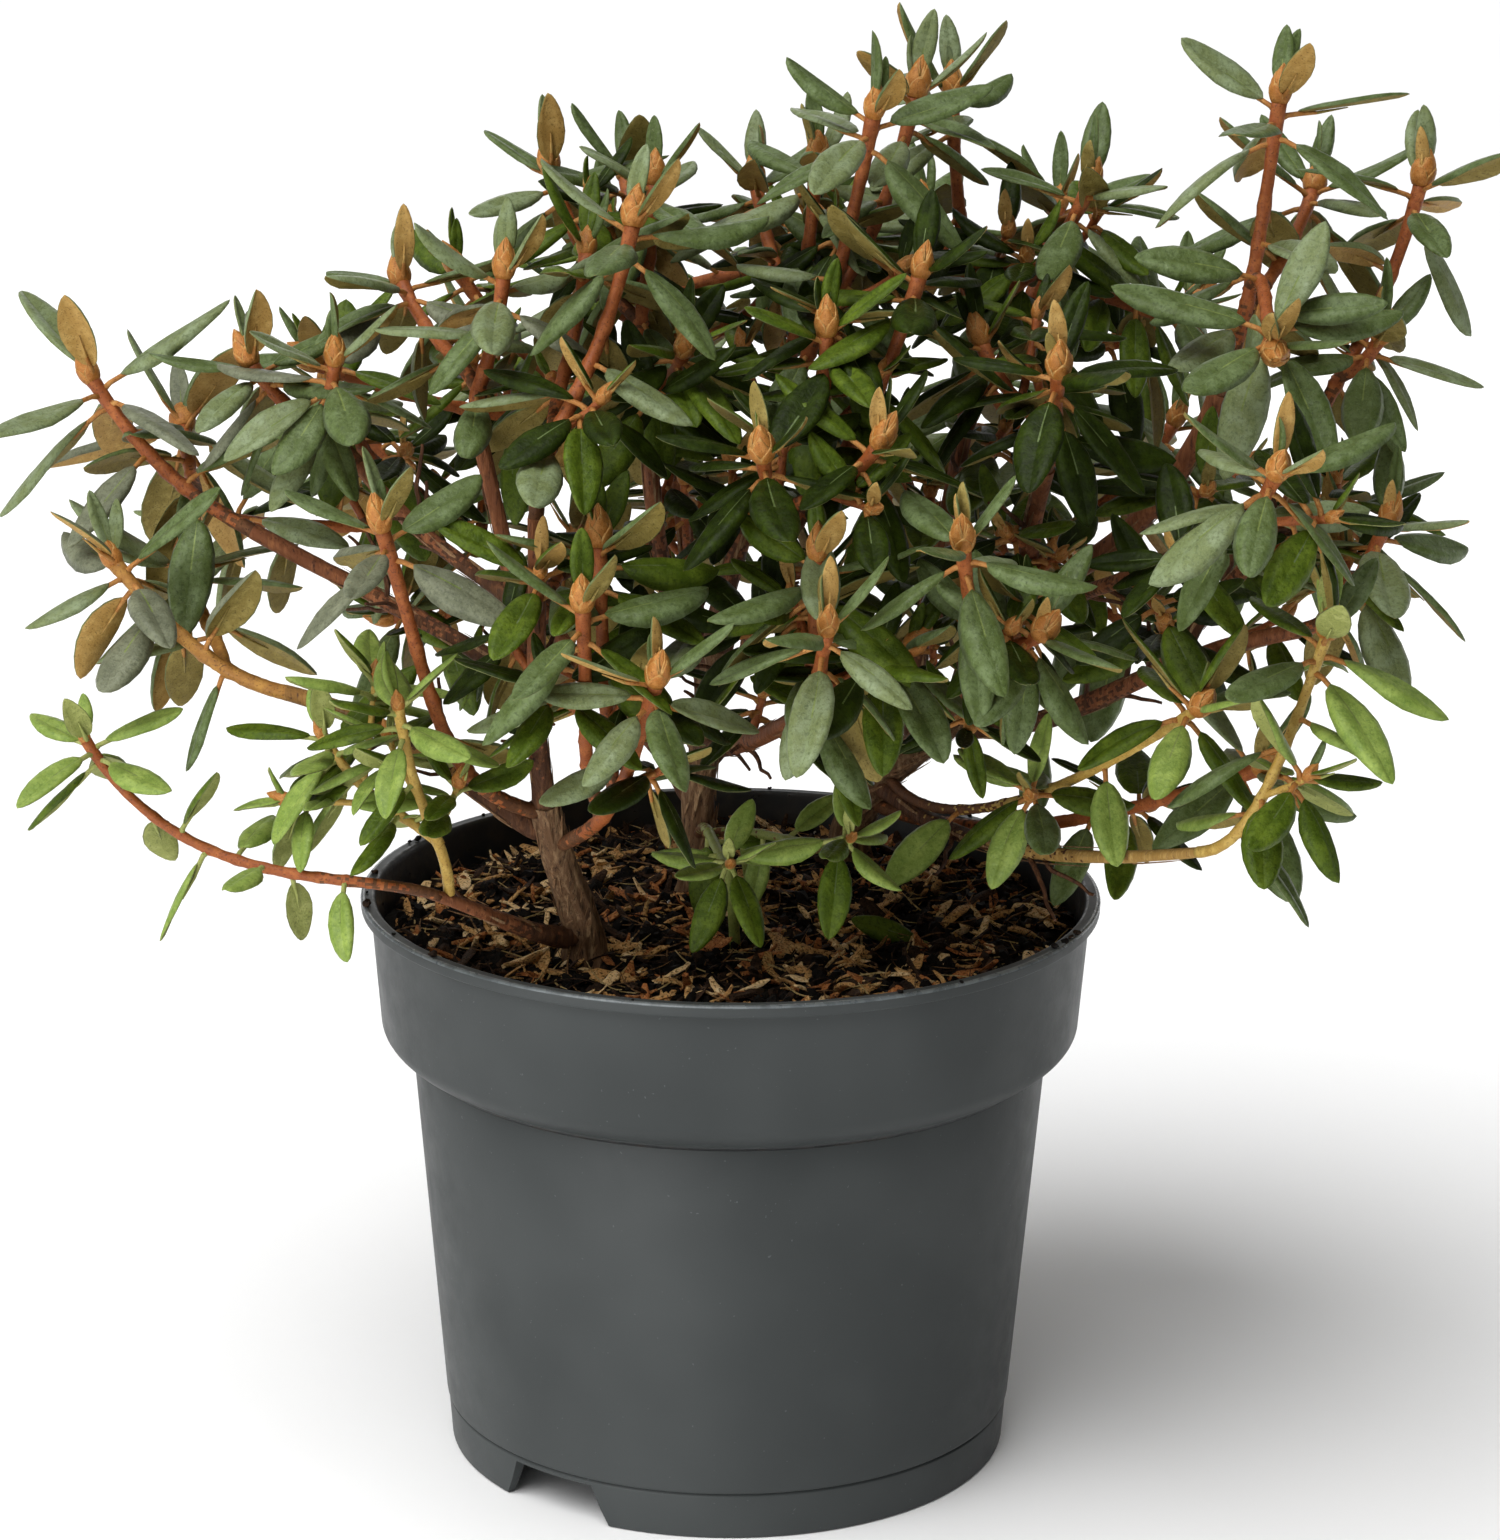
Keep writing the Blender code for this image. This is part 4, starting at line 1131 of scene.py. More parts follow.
def twig_slots(shoot, points, shares):
    """Brown at the foot and orange-red above, or golden on young low shoots, mixed where they meet."""
    along = (shares[:-1] + shares[1:])[:, None] / 2 + rough(points[:-1], 0.8) * 0.4
    upper, turn_at = RED_TWIG, 0.2
    if shoot.mass in GOLD_STEMMED:
        upper, turn_at = GOLD_TWIG, GOLD_FROM.get(shoot.mass, -1.0)
    elif shoot.mass in AMBER:
        upper, turn_at = AMBER_TWIG, -1.0
    elif shoot.mass in GREEN_STEMMED:
        upper = GREEN_TWIG
    slots = np.where(along > turn_at, upper, BROWN_TWIG).reshape(-1)
    return np.concatenate([slots, [BROWN_TWIG, upper]])


def add_twig(heap, shoot):
    """A round twig with scaly skin, and a swelling where each leaf leaves it."""
    path = shoot.path
    foot = [path.start - path.heading(0.0) * TWIG_ROOTED]
    line, shares = line_of(path, 1.1, before=foot)
    base = path.radius(shares) * (THIN_TWIG if shoot.mass in FRESH + GOLDEN else 1.0)
    swell = np.zeros(len(shares))
    for spot in leafy_spots(shoot):
        swell += 0.16 * np.exp(-(((shares - spot) * path.length() / 1.6) ** 2))
    swell += 0.3 * np.clip((shares - 0.86) / 0.14, 0.0, 1.0)
    sides = TWIG_SIDES if shoot.whorl == FULL_WHORL else SPUR_SIDES
    rings = swept(line, (base * (1.0 + swell))[:, None], sides, any_side(path.heading(0.0)))
    relief = 1.0 + 0.09 * rough(rings, 0.9) + 0.06 * rough(rings, 2.5)
    rings = line[:, None] + (rings - line[:, None]) * relief[..., None]
    heap.rings(rings, twig_slots(shoot, rings, shares))


def add_sprout(heap, foot, top):
    """A plain green stem that comes up out of the peat."""
    path = Path((Vector(foot), UP, UP), top, (0.4, 0.5), (1.5, 1.2))
    line, shares = line_of(path, 1.2)
    radii = path.radius(shares)
    radii[-1] *= 0.7
    heap.rings(swept(line, radii[:, None], SPROUT_SIDES, any_side(UP)), GREEN_TWIG)


# Material numbers on the buds
BUD, BUD_EDGE = range(2)
# Rows of bud scales: how many, from where to where up the bud, half their turn in degrees, and their lift
SCALE_ROWS = ((4, 0.0, 0.5, 54.0, 0.026), (4, 0.08, 0.78, 54.0, 0.02), (3, 0.25, 1.0, 66.0, 0.012))
SCALE_STEPS = np.array([0.0, 0.2, 0.45, 0.7, 0.88, 1.0])
SCALE_OUTER = np.array([-1.0, -0.8, -0.3, 0.3, 0.8, 1.0])
SCALE_INNER = np.array([0.8, 0.0, -0.8])
SCALE_SLOTS = [BUD_EDGE, BUD, BUD, BUD, BUD_EDGE, BUD_EDGE, BUD, BUD, BUD_EDGE]
CORE_SIDES = 10
CORE_RINGS = 8


def bud_radius(share):
    """The bud's radius there, as a share of its length: full below the middle, drawn to a point."""
    return 0.31 * np.sin(math.pi * np.clip(share * 0.86 + 0.14, 0.0, 1.0) ** 0.78) ** 0.82


def bud_shape():
    """One bud of unit length on the Z axis: a core with rows of overlapping pointed scales."""
    shape = Heap()
    shares = np.linspace(0.0, 0.98, CORE_RINGS)
    turns = np.arange(CORE_SIDES) * math.tau / CORE_SIDES
    shape.rings(turned(bud_radius(shares)[:, None] * 0.94, turns[None], shares[:, None]), BUD)
    for row, (count, low, high, half, lift) in enumerate(SCALE_ROWS):
        for number in range(count):
            middle = math.tau * (number + 0.5 * (row % 2)) / count
            add_scale(shape, middle, low, high, math.radians(half), lift)
    return [np.concatenate(rows) for rows in (shape.points, shape.corners, shape.counts, shape.slots)]


def add_scale(shape, middle, low, high, half, lift):
    """A cupped scale that lies on the bud from low to high, lifted a little, with a paler edge."""
    height = (low + (high - low) * SCALE_STEPS)[:, None]
    width = (half * (1.0 - SCALE_STEPS**2.6) + 0.04)[:, None]
    skin = bud_radius(height)
    free = lift * (0.6 + 0.8 * SCALE_STEPS)[:, None]
    rise = np.where(np.abs(SCALE_OUTER) > 0.9, 0.35, 1.0) * free
    outer = turned(skin + rise, middle + SCALE_OUTER * width, height)
    inner = turned(skin - 0.01, middle + SCALE_INNER * width, height)
    slots = np.array(SCALE_SLOTS * (len(SCALE_STEPS) - 1) + [BUD, BUD_EDGE])
    slots[-len(SCALE_SLOTS) - 2 : -2] = BUD_EDGE
    shape.rings(np.concatenate([outer, inner], axis=1), slots)


def add_bud(heap, shape, shoot, chance):
    points, corners, counts, slots = shape
    heading = (shoot.path.heading(1.0) + whorl_axis(shoot)).normalized()
    length = BUD_LENGTH * BUD_SIZE * shoot.bud * chance.uniform(0.84, 1.08)
    width = length * chance.uniform(0.84, 1.0)
    across = any_side(heading)
    deep = heading.cross(across)
    turn = chance.uniform(0.0, math.tau)
    side = np.array(across * math.cos(turn) + deep * math.sin(turn))
    other = np.cross(np.array(heading), side)
    base = np.array(shoot.path.end - heading * BUD_SUNK)
    placed = base + points[:, :1] * side * width + points[:, 1:2] * other * width
    placed = placed + points[:, 2:] * np.array(heading) * length
    heap.add(placed, (corners, counts), slots)


def make_foliage(looks):
    space = Space()
    limbs = grow_limbs(space)
    shoots = grow_shoots(limbs, space)
    shoots += side_spurs(shoots, limbs, space)
    chance = random.Random(SEED + 3)
    shape = bud_shape()
    leaves, twigs, buds = ({side: Heap() for side in SIDES} for _ in range(3))
    side_of = {name: side for name in MASSES for side, starts in SIDES.items() if name.startswith(starts)}
    for shoot in shoots:
        side = side_of[shoot.mass]
        add_twig(twigs[side], shoot)
        add_bud(buds[side], shape, shoot, chance)
    for foot, top in SPROUTS:
        add_sprout(twigs["middle"], foot, top)
    place_leaves(shoots, space, {name: leaves[side_of[name]] for name in MASSES})
    add_fallen(leaves["middle"], chance)
    kinds = (("leaves", leaves, "foliage"), ("twigs", twigs, "bark"), ("buds", buds, "foliage"))
    for side in SIDES:
        masses = [name for name in MASSES if side_of[name] == side]
        for kind, heaps, slot in kinds:
            piece = heaps[side].piece(f"{kind}_{side}", looks[kind], slot)
            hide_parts(*masses)
    return limbs


# Pot and soil


def arc(centre, radius, start, end, steps):
    """Points (out, up) on an arc, from one angle to another in degrees."""
    out, up = centre
    angles = [math.radians(start + (end - start) * step / steps) for step in range(steps + 1)]
    return [(out + radius * math.cos(angle), up + radius * math.sin(angle)) for angle in angles]


def pot_profile():
    """The pot's section, from the middle of its floor over the rim to the middle of its underside."""
    wall = POT_WALL
    under_lip = RIM_TOP - LIP_DEPTH
    foot_inside = FOOT_RADIUS - FOOT_WIDTH
    points = [
        (0.0, FLOOR_TOP),
        (BODY_FOOT_RADIUS - wall - FLOOR_CORNER, FLOOR_TOP),
        (BODY_FOOT_RADIUS - wall, FLOOR_TOP + FLOOR_CORNER),
        (BODY_RADIUS - wall, STEP_FOOT),
        (COLLAR_FOOT_RADIUS - wall, COLLAR_FOOT),
        (COLLAR_RADIUS - wall, RIM_TOP - 2.0),
    ]
    points += arc((RIM_RADIUS - 2.9, RIM_TOP - 1.1), 1.1, 170, 95, 4)
    points += [(RIM_RADIUS - 2.2, RIM_TOP - 0.25)]
    points += arc((RIM_RADIUS - 1.0, RIM_TOP - 0.9), 0.9, 100, 0, 6)
    points += [(RIM_RADIUS - 0.2, under_lip + 0.7)]
    points += arc((RIM_RADIUS - 0.8, under_lip + 0.4), 0.6, 0, -90, 4)
    points += arc((COLLAR_RADIUS + 0.5, under_lip - 0.7), 0.5, 90, 180, 3)
    rounding = (
        (COLLAR_FOOT_RADIUS + 0.1, COLLAR_FOOT + 2.2),
        (COLLAR_FOOT_RADIUS - 0.4, COLLAR_FOOT - 1.6),
        (BODY_RADIUS + 0.9, STEP_FOOT + 2.3),
    )
    for number in range(ROUNDING_STEPS + 1):
        share = number / ROUNDING_STEPS
        weights = ((1 - share) ** 2, 2 * share * (1 - share), share**2)
        points.append([sum(w * spot[axis] for w, spot in zip(weights, rounding)) for axis in range(2)])
    points += [
        (BODY_RADIUS + 0.75, STEP_FOOT + 2.0),
        (BODY_RADIUS - 0.85, STEP_FOOT + 2.4),
        (BODY_RADIUS - 0.75, STEP_FOOT + 1.2),
        (BODY_RADIUS - 0.3, STEP_FOOT),
        (BODY_FOOT_RADIUS + 0.1, FOOT_HEIGHT + 1.6),
    ]
    points += arc((BODY_FOOT_RADIUS - 0.7, FOOT_HEIGHT + 0.8), 0.7, 0, -80, 4)
    points += [(BODY_FOOT_RADIUS - 1.0, FOOT_HEIGHT - 0.1)]
    points += arc((BODY_FOOT_RADIUS - 0.95, FOOT_HEIGHT - 0.9), 0.5, 70, 0, 3)
    points += arc((FOOT_RADIUS - 0.5, 0.5), 0.5, 0, -90, 4)
    points += arc((foot_inside + 0.5, 0.5), 0.5, 270, 180, 4)
    return points + [
        (foot_inside - 0.6, FLOOR_TOP - wall - 1.0),
        (foot_inside - 1.6, FLOOR_TOP - wall),
        (0.0, FLOOR_TOP - wall),
    ]


def notch_cutter(turn):
    """A wedge through the foot ring, wider at the ground."""
    points = []
    for radius in (FOOT_RADIUS - NOTCH_REACH, FOOT_RADIUS + NOTCH_REACH):
        for half, height in ((NOTCH_HALF_FOOT, -2.0), (NOTCH_HALF_TOP, NOTCH_HEIGHT)):
            for side in (-1, 1):
                angle = math.radians(turn + side * half - 90.0)
                points.append(Vector((radius * math.cos(angle), radius * math.sin(angle), height)) * MM)
    faces = [(0, 2, 3, 1), (4, 5, 7, 6), (0, 1, 5, 4), (2, 6, 7, 3), (0, 4, 6, 2), (1, 3, 7, 5)]
    mesh = bpy.data.meshes.new("notch")
    mesh.from_pydata(points, [], faces)
    return put("notch", mesh)


# Material numbers on the pot, and how far in or down from the rim each band ends. The inside band is painted
# darker as painted shade, and the lip band lighter as a painted highlight
POT_OUTSIDE, POT_INSIDE_SHADE, POT_LIP_HIGHLIGHT = range(3)
LIP_DOWN = 0.75
LIP_IN = 1.3
WALL_IN = 2.5
POT_CORNER = math.radians(38.0)


def make_pot(looks):
    """The moulded pot, turned from its section, with a darker material on its inside as painted shade and a
    lighter one on its lip as a painted highlight.
    """
    profile = pot_profile()
    mesh = bpy.data.meshes.new("pot_shell")
    points = [Vector((radius, 0.0, height)) * MM for radius, height in profile]
    mesh.from_pydata(points, [(step, step + 1) for step in range(len(points) - 1)], [])
    pot = put("pot_shell", mesh)
    screw = pot.modifiers.new("turn", "SCREW")
    screw.steps = screw.render_steps = POT_SIDES
    screw.use_merge_vertices = True
    screw.merge_threshold = 0.00001
    screw.use_normal_calculate = True
    cutters = [notch_cutter(turn) for turn in NOTCH_TURNS]
    for cutter in cutters:
        cut = pot.modifiers.new("notch", "BOOLEAN")
        cut.operation = "DIFFERENCE"
        cut.object = cutter
    graph = bpy.context.evaluated_depsgraph_get()
    mesh = bpy.data.meshes.new_from_object(pot.evaluated_get(graph))
    pot.modifiers.clear()
    pot.data = mesh
    for cutter in cutters:
        bpy.data.objects.remove(cutter)
    for look in looks:
        mesh.materials.append(look)
    for face in mesh.polygons:
        middle = face.center / MM
        out = math.hypot(middle.x, middle.y)
        inward = middle.z > FLOOR_TOP - 0.1 and face.normal.to_2d().dot(middle.to_2d()) < 0.0
        # The lip band gets the painted highlight, and the inward faces get the painted shade
        if middle.z > RIM_TOP - LIP_DOWN and out > RIM_RADIUS - LIP_IN:
            face.material_index = POT_LIP_HIGHLIGHT
        elif inward and out < RIM_RADIUS - WALL_IN:
            face.material_index = POT_INSIDE_SHADE
        else:
            face.material_index = POT_OUTSIDE
    mesh.shade_smooth()
    mesh.set_sharp_from_angle(angle=POT_CORNER)
    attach(pot, "root")
    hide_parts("pot")


def soil_height(out, turn):
    """The peat's height: nearly flat, lower at the wall, with lumps."""
    slope = np.clip((out - SOIL_FLAT_RADIUS) / (SOIL_EDGE_RADIUS - SOIL_FLAT_RADIUS), 0.0, 1.0)
    lumps = layered(turned(out, turn, 0.0), SOIL_LUMPS)
    return SOIL_TOP - SOIL_EDGE_DROP * slope + SOIL_LUMP * lumps - SOIL_SUNK


def make_soil(looks):
    """The root ball: a lumpy surface over a plain body inside the pot."""
    outs = np.linspace(0.4, SOIL_EDGE_RADIUS - 0.3, SOIL_RINGS)[:, None]
    turns = np.arange(SOIL_SIDES) * math.tau / SOIL_SIDES
    rings = [turned(outs, turns, soil_height(*np.broadcast_arrays(outs, turns)))]
    inside = POT_WALL + SOIL_CLEAR
    for out, up in (
        (COLLAR_FOOT_RADIUS - inside, COLLAR_FOOT),
        (BODY_RADIUS - inside, STEP_FOOT),
        (BODY_FOOT_RADIUS - inside, FLOOR_TOP + FLOOR_CORNER),
        (BODY_FOOT_RADIUS - POT_WALL - FLOOR_CORNER, FLOOR_TOP + GAP),
    ):
        rings.append(turned(out, turns, up)[None])
    heap = Heap()
    heap.rings(np.concatenate(rings)[::-1])
    soil = heap.piece("soil_body", looks, "peat")
    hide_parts("soil")


def splinter(chance, length, width, thick, tilt, sides=6, rings=5):
    """A ragged sliver round its own middle, lying about flat: rings of points."""
    shares = np.linspace(-0.5, 0.5, rings)
    turns = np.arange(sides) * math.tau / sides + chance.uniform(0.0, 1.0)
    sway = chance.uniform(-0.12, 0.12) * length
    taper = [chance.uniform(0.25, 0.8), 1.0, chance.uniform(0.8, 1.1), 1.0, chance.uniform(0.1, 0.7)]
    taper = np.interp(np.linspace(0, 1, rings), np.linspace(0, 1, len(taper)), taper)[:, None]
    ragged = np.array([[chance.uniform(0.7, 1.2) for _ in range(sides)] for _ in range(rings)])
    ends = (shares**2 * 4)[:, None]
    across = np.cos(turns) * width / 2 * taper * ragged + sway * ends
    up = np.sin(turns) * thick / 2 * taper * ragged + chance.uniform(-0.12, 0.16) * length * ends
    points = np.stack(np.broadcast_arrays((shares * length)[:, None], across, up), axis=-1)
    pitch, roll, yaw = tilt * chance.uniform(-1, 1), chance.uniform(-0.6, 0.6), chance.uniform(0, math.tau)
    turn = Matrix.Rotation(yaw, 3, "Z") @ Matrix.Rotation(pitch, 3, "Y") @ Matrix.Rotation(roll, 3, "X")
    return points @ np.array(turn).T


# A piece that reaches deeper than this is lifted by a share of what is too deep
LITTER_DEPTH = 1.2
LITTER_LIFT = 0.4
LITTER_IN = 2.0
WALL_CLEAR = 0.5


def scatter(heap, chance, count, shape, sink, slots, patchy=0.0):
    """Drops shapes on the peat. Each keeps inside the pot's wall and a little above the surface.

    Patchy is the share of them that stays off the dark patches.
    """
    placed = 0
    while placed < count:
        out = (SOIL_EDGE_RADIUS - LITTER_IN) * math.sqrt(chance.random())
        turn = chance.uniform(0.0, math.tau)
        points = shape(chance)
        spot = np.array([out * math.cos(turn), out * math.sin(turn), 0.0])
        if noise.noise(Vector(spot / PATCH_SIZE)) < PATCH_LEVEL and chance.random() < patchy:
            continue
        height = float(soil_height(np.array([out]), np.array([turn]))[0])
        points = points + spot
        points[..., 2] += height + sink - min(points[..., 2].min() + LITTER_DEPTH, 0.0) * LITTER_LIFT
        if np.hypot(points[..., 0], points[..., 1]).max() > SOIL_EDGE_RADIUS - WALL_CLEAR:
            continue
        heap.rings(points, chance.choice(slots))
        placed += 1


# Material numbers on the bark chips, the fibres and the crumbs
CHIP_BROWN, CHIP_DARK, CHIP_TAN, CHIP_RED = range(4)
FIBRE_BROWN, FIBRE_DARK, FIBRE_STRAW = range(3)
CRUMB_BLACK, CRUMB_BROWN, GRAIN_WHITE = range(3)


def make_litter(looks):
    """What lies on the peat: bark chips, fibres, dark crumbs and a few pale grains."""
    chance = random.Random(SEED + 4)

    def chip(chance):
        length = 3.0 + 9.0 * chance.random() ** 1.5
        return splinter(chance, length, length * chance.uniform(0.1, 0.34), chance.uniform(0.6, 1.5), 0.8)

    def chunk(chance):
        length = chance.uniform(7.0, 14.0)
        return splinter(chance, length, length * chance.uniform(0.18, 0.4), chance.uniform(0.9, 2.0), 0.5)

    def fibre(chance):
        length, width = chance.uniform(5.0, 20.0), chance.uniform(0.3, 0.7)
        return splinter(chance, length, width, 0.4, 0.35, sides=4, rings=7)

    def crumb(chance):
        size = 1.2 + 3.6 * chance.random() ** 2
        return splinter(chance, size, size * 0.9, size * 0.8, 1.5, sides=5, rings=4)

    def grain(chance):
        return splinter(chance, chance.uniform(0.8, 1.8), 1.0, 0.9, 1.5)

    chips, fibres, crumbs = Heap(), Heap(), Heap()
    scatter(chips, chance, CHUNKS, chunk, 1.9, (CHIP_BROWN, CHIP_DARK, CHIP_TAN, CHIP_RED), patchy=0.9)
    slots = 2 * (CHIP_BROWN,) + 2 * (CHIP_DARK,) + (CHIP_TAN, CHIP_RED)
    scatter(chips, chance, CHIPS, chip, 1.7, slots, patchy=0.85)
    scatter(fibres, chance, FIBRES, fibre, 1.3, 2 * (FIBRE_BROWN,) + 2 * (FIBRE_DARK,) + (FIBRE_STRAW,))
    scatter(crumbs, chance, CRUMBS, crumb, 0.6, 3 * (CRUMB_BLACK,) + (CRUMB_BROWN,))
    scatter(crumbs, chance, GRAINS, grain, 0.9, (GRAIN_WHITE,))
    for _ in range(RIM_CRUMBS):
        turn = chance.uniform(0.0, math.tau)
        size = chance.uniform(0.8, 2.6)
        points = splinter(chance, size, size * 0.8, size * 0.6, 0.3)
        reach = RIM_RADIUS - 1.6 + chance.uniform(-0.8, 0.8)
        points = points + np.array([reach * math.cos(turn), reach * math.sin(turn), 0.0])
        points[..., 2] += RIM_TOP - points[..., 2].min() - RIM_CRUMB_SUNK
        crumbs.rings(points, chance.choice((CRUMB_BLACK, CRUMB_BROWN)))
    chips.piece("bark_chips", looks["chips"], "peat", sharp=40)
    fibres.piece("peat_fibres", looks["fibres"], "peat")
    crumbs.piece("peat_crumbs", looks["crumbs"], "peat", sharp=50)


# Materials


def linear(code):
    """A colour's linear values from its usual six-digit code."""
    values = [int(code[place : place + 2], 16) / 255 for place in (0, 2, 4)]
    return tuple(v / 12.92 if v <= 0.04045 else ((v + 0.055) / 1.055) ** 2.4 for v in values)


# The colour sockets of a mix node
MIX_FIRST, MIX_SECOND, MIX_RESULT = 6, 7, 2
SHINE_SPAN = (0.3, 0.7)
SOFT_ROUGH = (4.0, 0.7)


class Look:
    """Builds one procedural material: colours mixed by noise, with roughness and bump from nodes.

    Noise is given by its size in millimetres, and also its detail and its share of fine detail.
    """

    def __init__(self, name, colour, roughness, stretch=1.0):
        self.material = bpy.data.materials.new(name)
        self.material.use_nodes = True
        self.tree = self.material.node_tree
        self.shader = self.tree.nodes["Principled BSDF"]
        self.place = self.node("ShaderNodeMapping", Scale=(1.0, 1.0, 1.0 / stretch))
        place = self.node("ShaderNodeTexCoord")
        self.link(place.outputs["Object"], self.place.inputs["Vector"])
        self.shader.inputs["Base Color"].default_value = (*linear(colour), 1.0)
        self.shader.inputs["Roughness"].default_value = roughness

    def link(self, output, socket):
        self.tree.links.new(output, socket)

    def node(self, kind, **inputs):
        node = self.tree.nodes.new(kind)
        for name, value in inputs.items():
            node.inputs[name.replace("_", " ")].default_value = value
        return node

    def noise(self, size, detail=3.0, fine=0.55):
        node = self.node("ShaderNodeTexNoise", Scale=1.0 / (size * MM), Detail=detail, Roughness=fine)
        self.link(self.place.outputs["Vector"], node.inputs["Vector"])
        return node.outputs["Fac"]

    def ramp(self, noise, low, high, start=0.0, end=1.0):
        """Noise spread so that low gives start and high gives end."""
        node = self.node("ShaderNodeMapRange", From_Min=low, From_Max=high, To_Min=start, To_Max=end)
        self.link(self.noise(*noise), node.inputs["Value"])
        return node.outputs["Result"]

    def tint(self, colour, noise, span):
        """Mixes another colour into the surface where the noise rises through the span."""
        base = self.shader.inputs["Base Color"]
        node = self.tree.nodes.new("ShaderNodeMix")
        node.data_type = "RGBA"
        self.link(self.ramp(noise, *span), node.inputs["Factor"])
        if base.is_linked:
            self.link(base.links[0].from_socket, node.inputs[MIX_FIRST])
        else:
            node.inputs[MIX_FIRST].default_value = base.default_value
        node.inputs[MIX_SECOND].default_value = (*linear(colour), 1.0)
        self.link(node.outputs[MIX_RESULT], base)

    def shine(self, noise, least, most):
        """Roughness that wanders from least to most."""
        self.link(self.ramp(noise, *SHINE_SPAN, least, most), self.shader.inputs["Roughness"])

    def relief(self, noise, depth):
        """Raises the surface by up to this many millimetres where the noise is high."""
        node = self.node("ShaderNodeBump", Strength=1.0, Distance=depth * MM)
        self.link(self.noise(*noise), node.inputs["Height"])
        normal = self.shader.inputs["Normal"]
        if normal.is_linked:
            self.link(normal.links[0].from_socket, node.inputs["Normal"])
        self.link(node.outputs["Normal"], normal)

    def done(self, specular, sheen=0.0):
        self.shader.inputs["Specular IOR Level"].default_value = specular
        self.shader.inputs["Sheen Weight"].default_value = sheen
        return self.material


def blade_look(name, colour, light, speck, sheen=0.03, specular=0.24):
    """A leaf's upper side: cloudy, finely speckled and a little leathery."""
    look = Look(name, colour, 0.5)
    look.tint(light, (5.0, 2.0), (0.42, 0.66))
    look.tint(speck, (0.9, 3.0, 0.7), (0.48, 0.7, 0.0, 0.7))
    look.tint(light, (0.5, 1.0), (0.6, 0.68, 0.0, 0.5))
    look.shine((1.5,), 0.36, 0.6)
    look.relief((1.3,), 0.3)
    return look.done(specular, sheen)


def skin_look(name, colour, light, dark, size=2.5, roughness=0.65):
    """Twig skin, undersides and bud scales: two tones and fine scurf."""
    look = Look(name, colour, roughness)
    look.tint(light, (size,), (0.45, 0.68))
    look.tint(dark, (size * 0.22, 2.0), (0.56, 0.7, 0.0, 0.8))
    look.shine((size,), roughness - 0.12, roughness + 0.15)
    look.relief((size * 0.25,), 0.15)
    return look.done(0.28)


def leaf_looks():
    """In the order of the leaves' material numbers."""
    return [
        # The pale blade stands for lit leaves: painted light
        blade_look("blade_pale_lit", "6b764a", "7d8a66", "444f2c"),
        blade_look("blade_glaucous", "4c5b2b", "637348", "2c3912"),
        blade_look("blade_green", "40520f", "586a1c", "222e04", sheen=0.0, specular=0.16),
        # The dark blade stands for leaves in the crown's shade: painted shade
        blade_look("blade_dark_shaded", "1d2804", "2c3a08", "0c1301", sheen=0.0, specular=0.12),
        blade_look("blade_bright", "728739", "8b9e4c", "506a28"),
        blade_look("blade_rib", "66743a", "7c8a4c", "4c5a28"),
        skin_look("underside_khaki", "857439", "9a8a4e", "5a4c24"),
        skin_look("underside_gold", "aa8546", "be9c5c", "74582a"),
        skin_look("underside_lime", "8e9450", "a2a664", "6a703a"),
        skin_look("leaf_stalk", "a26c34", "b8864c", "704422"),
        skin_look("leaf_edge", "64683c", "787c4e", "484c28"),
        blade_look("blade_bronze", "626650", "767a62", "3f4230"),
    ]


def twig_looks():
    """In the order of the twigs' material numbers."""
    return [
        skin_look("twig_red", "8c4a22", "a66234", "562a14", roughness=0.55),
        skin_look("twig_brown", "58361e", "704a2e", "301c0e", roughness=0.7),
        skin_look("twig_gold", "ad8c42", "c4a75c", "7e5c2a", roughness=0.55),
        skin_look("twig_green", "76803c", "8c9450", "545e28", roughness=0.55),
        skin_look("twig_amber", "97682e", "b0813e", "5c3a1c", roughness=0.55),
    ]


def bud_looks():
    return [
        skin_look("bud_scale", "a66a2e", "bc8244", "74461c", size=1.6, roughness=0.5),
        skin_look("bud_edge", "ae8044", "c0965c", "7c5428", size=1.2, roughness=0.55),
    ]


def bark_look(name, colour, light, dark, roughness=0.8):
    """Bark with fibres that run up it."""
    look = Look(name, colour, roughness, stretch=6.0)
    look.tint(light, (1.6, *SOFT_ROUGH), (0.48, 0.66))
    look.tint(dark, (0.9, *SOFT_ROUGH), (0.55, 0.68))
    look.shine((2.0,), roughness - 0.1, roughness + 0.15)
    look.relief((0.7, *SOFT_ROUGH), 0.5)
    return look.done(0.3)


def wood_looks():
    return [
        bark_look("bark_old", "674b33", "927555", "2a1b12"),
        # A darker bark painted as the shade inside the crown
        bark_look("bark_shaded", "4a2c18", "6a4428", "24140c", roughness=0.7),
        bark_look("bark_flake", "805e40", "a88a66", "4a3222"),
        bark_look("bark_red", "784628", "965f3a", "422214", roughness=0.65),
        bark_look("bark_gold", "a07c40", "bc9a5a", "68482a", roughness=0.6),
        bark_look("bark_amber", "8a6230", "a67c44", "4c3020", roughness=0.6),
    ]


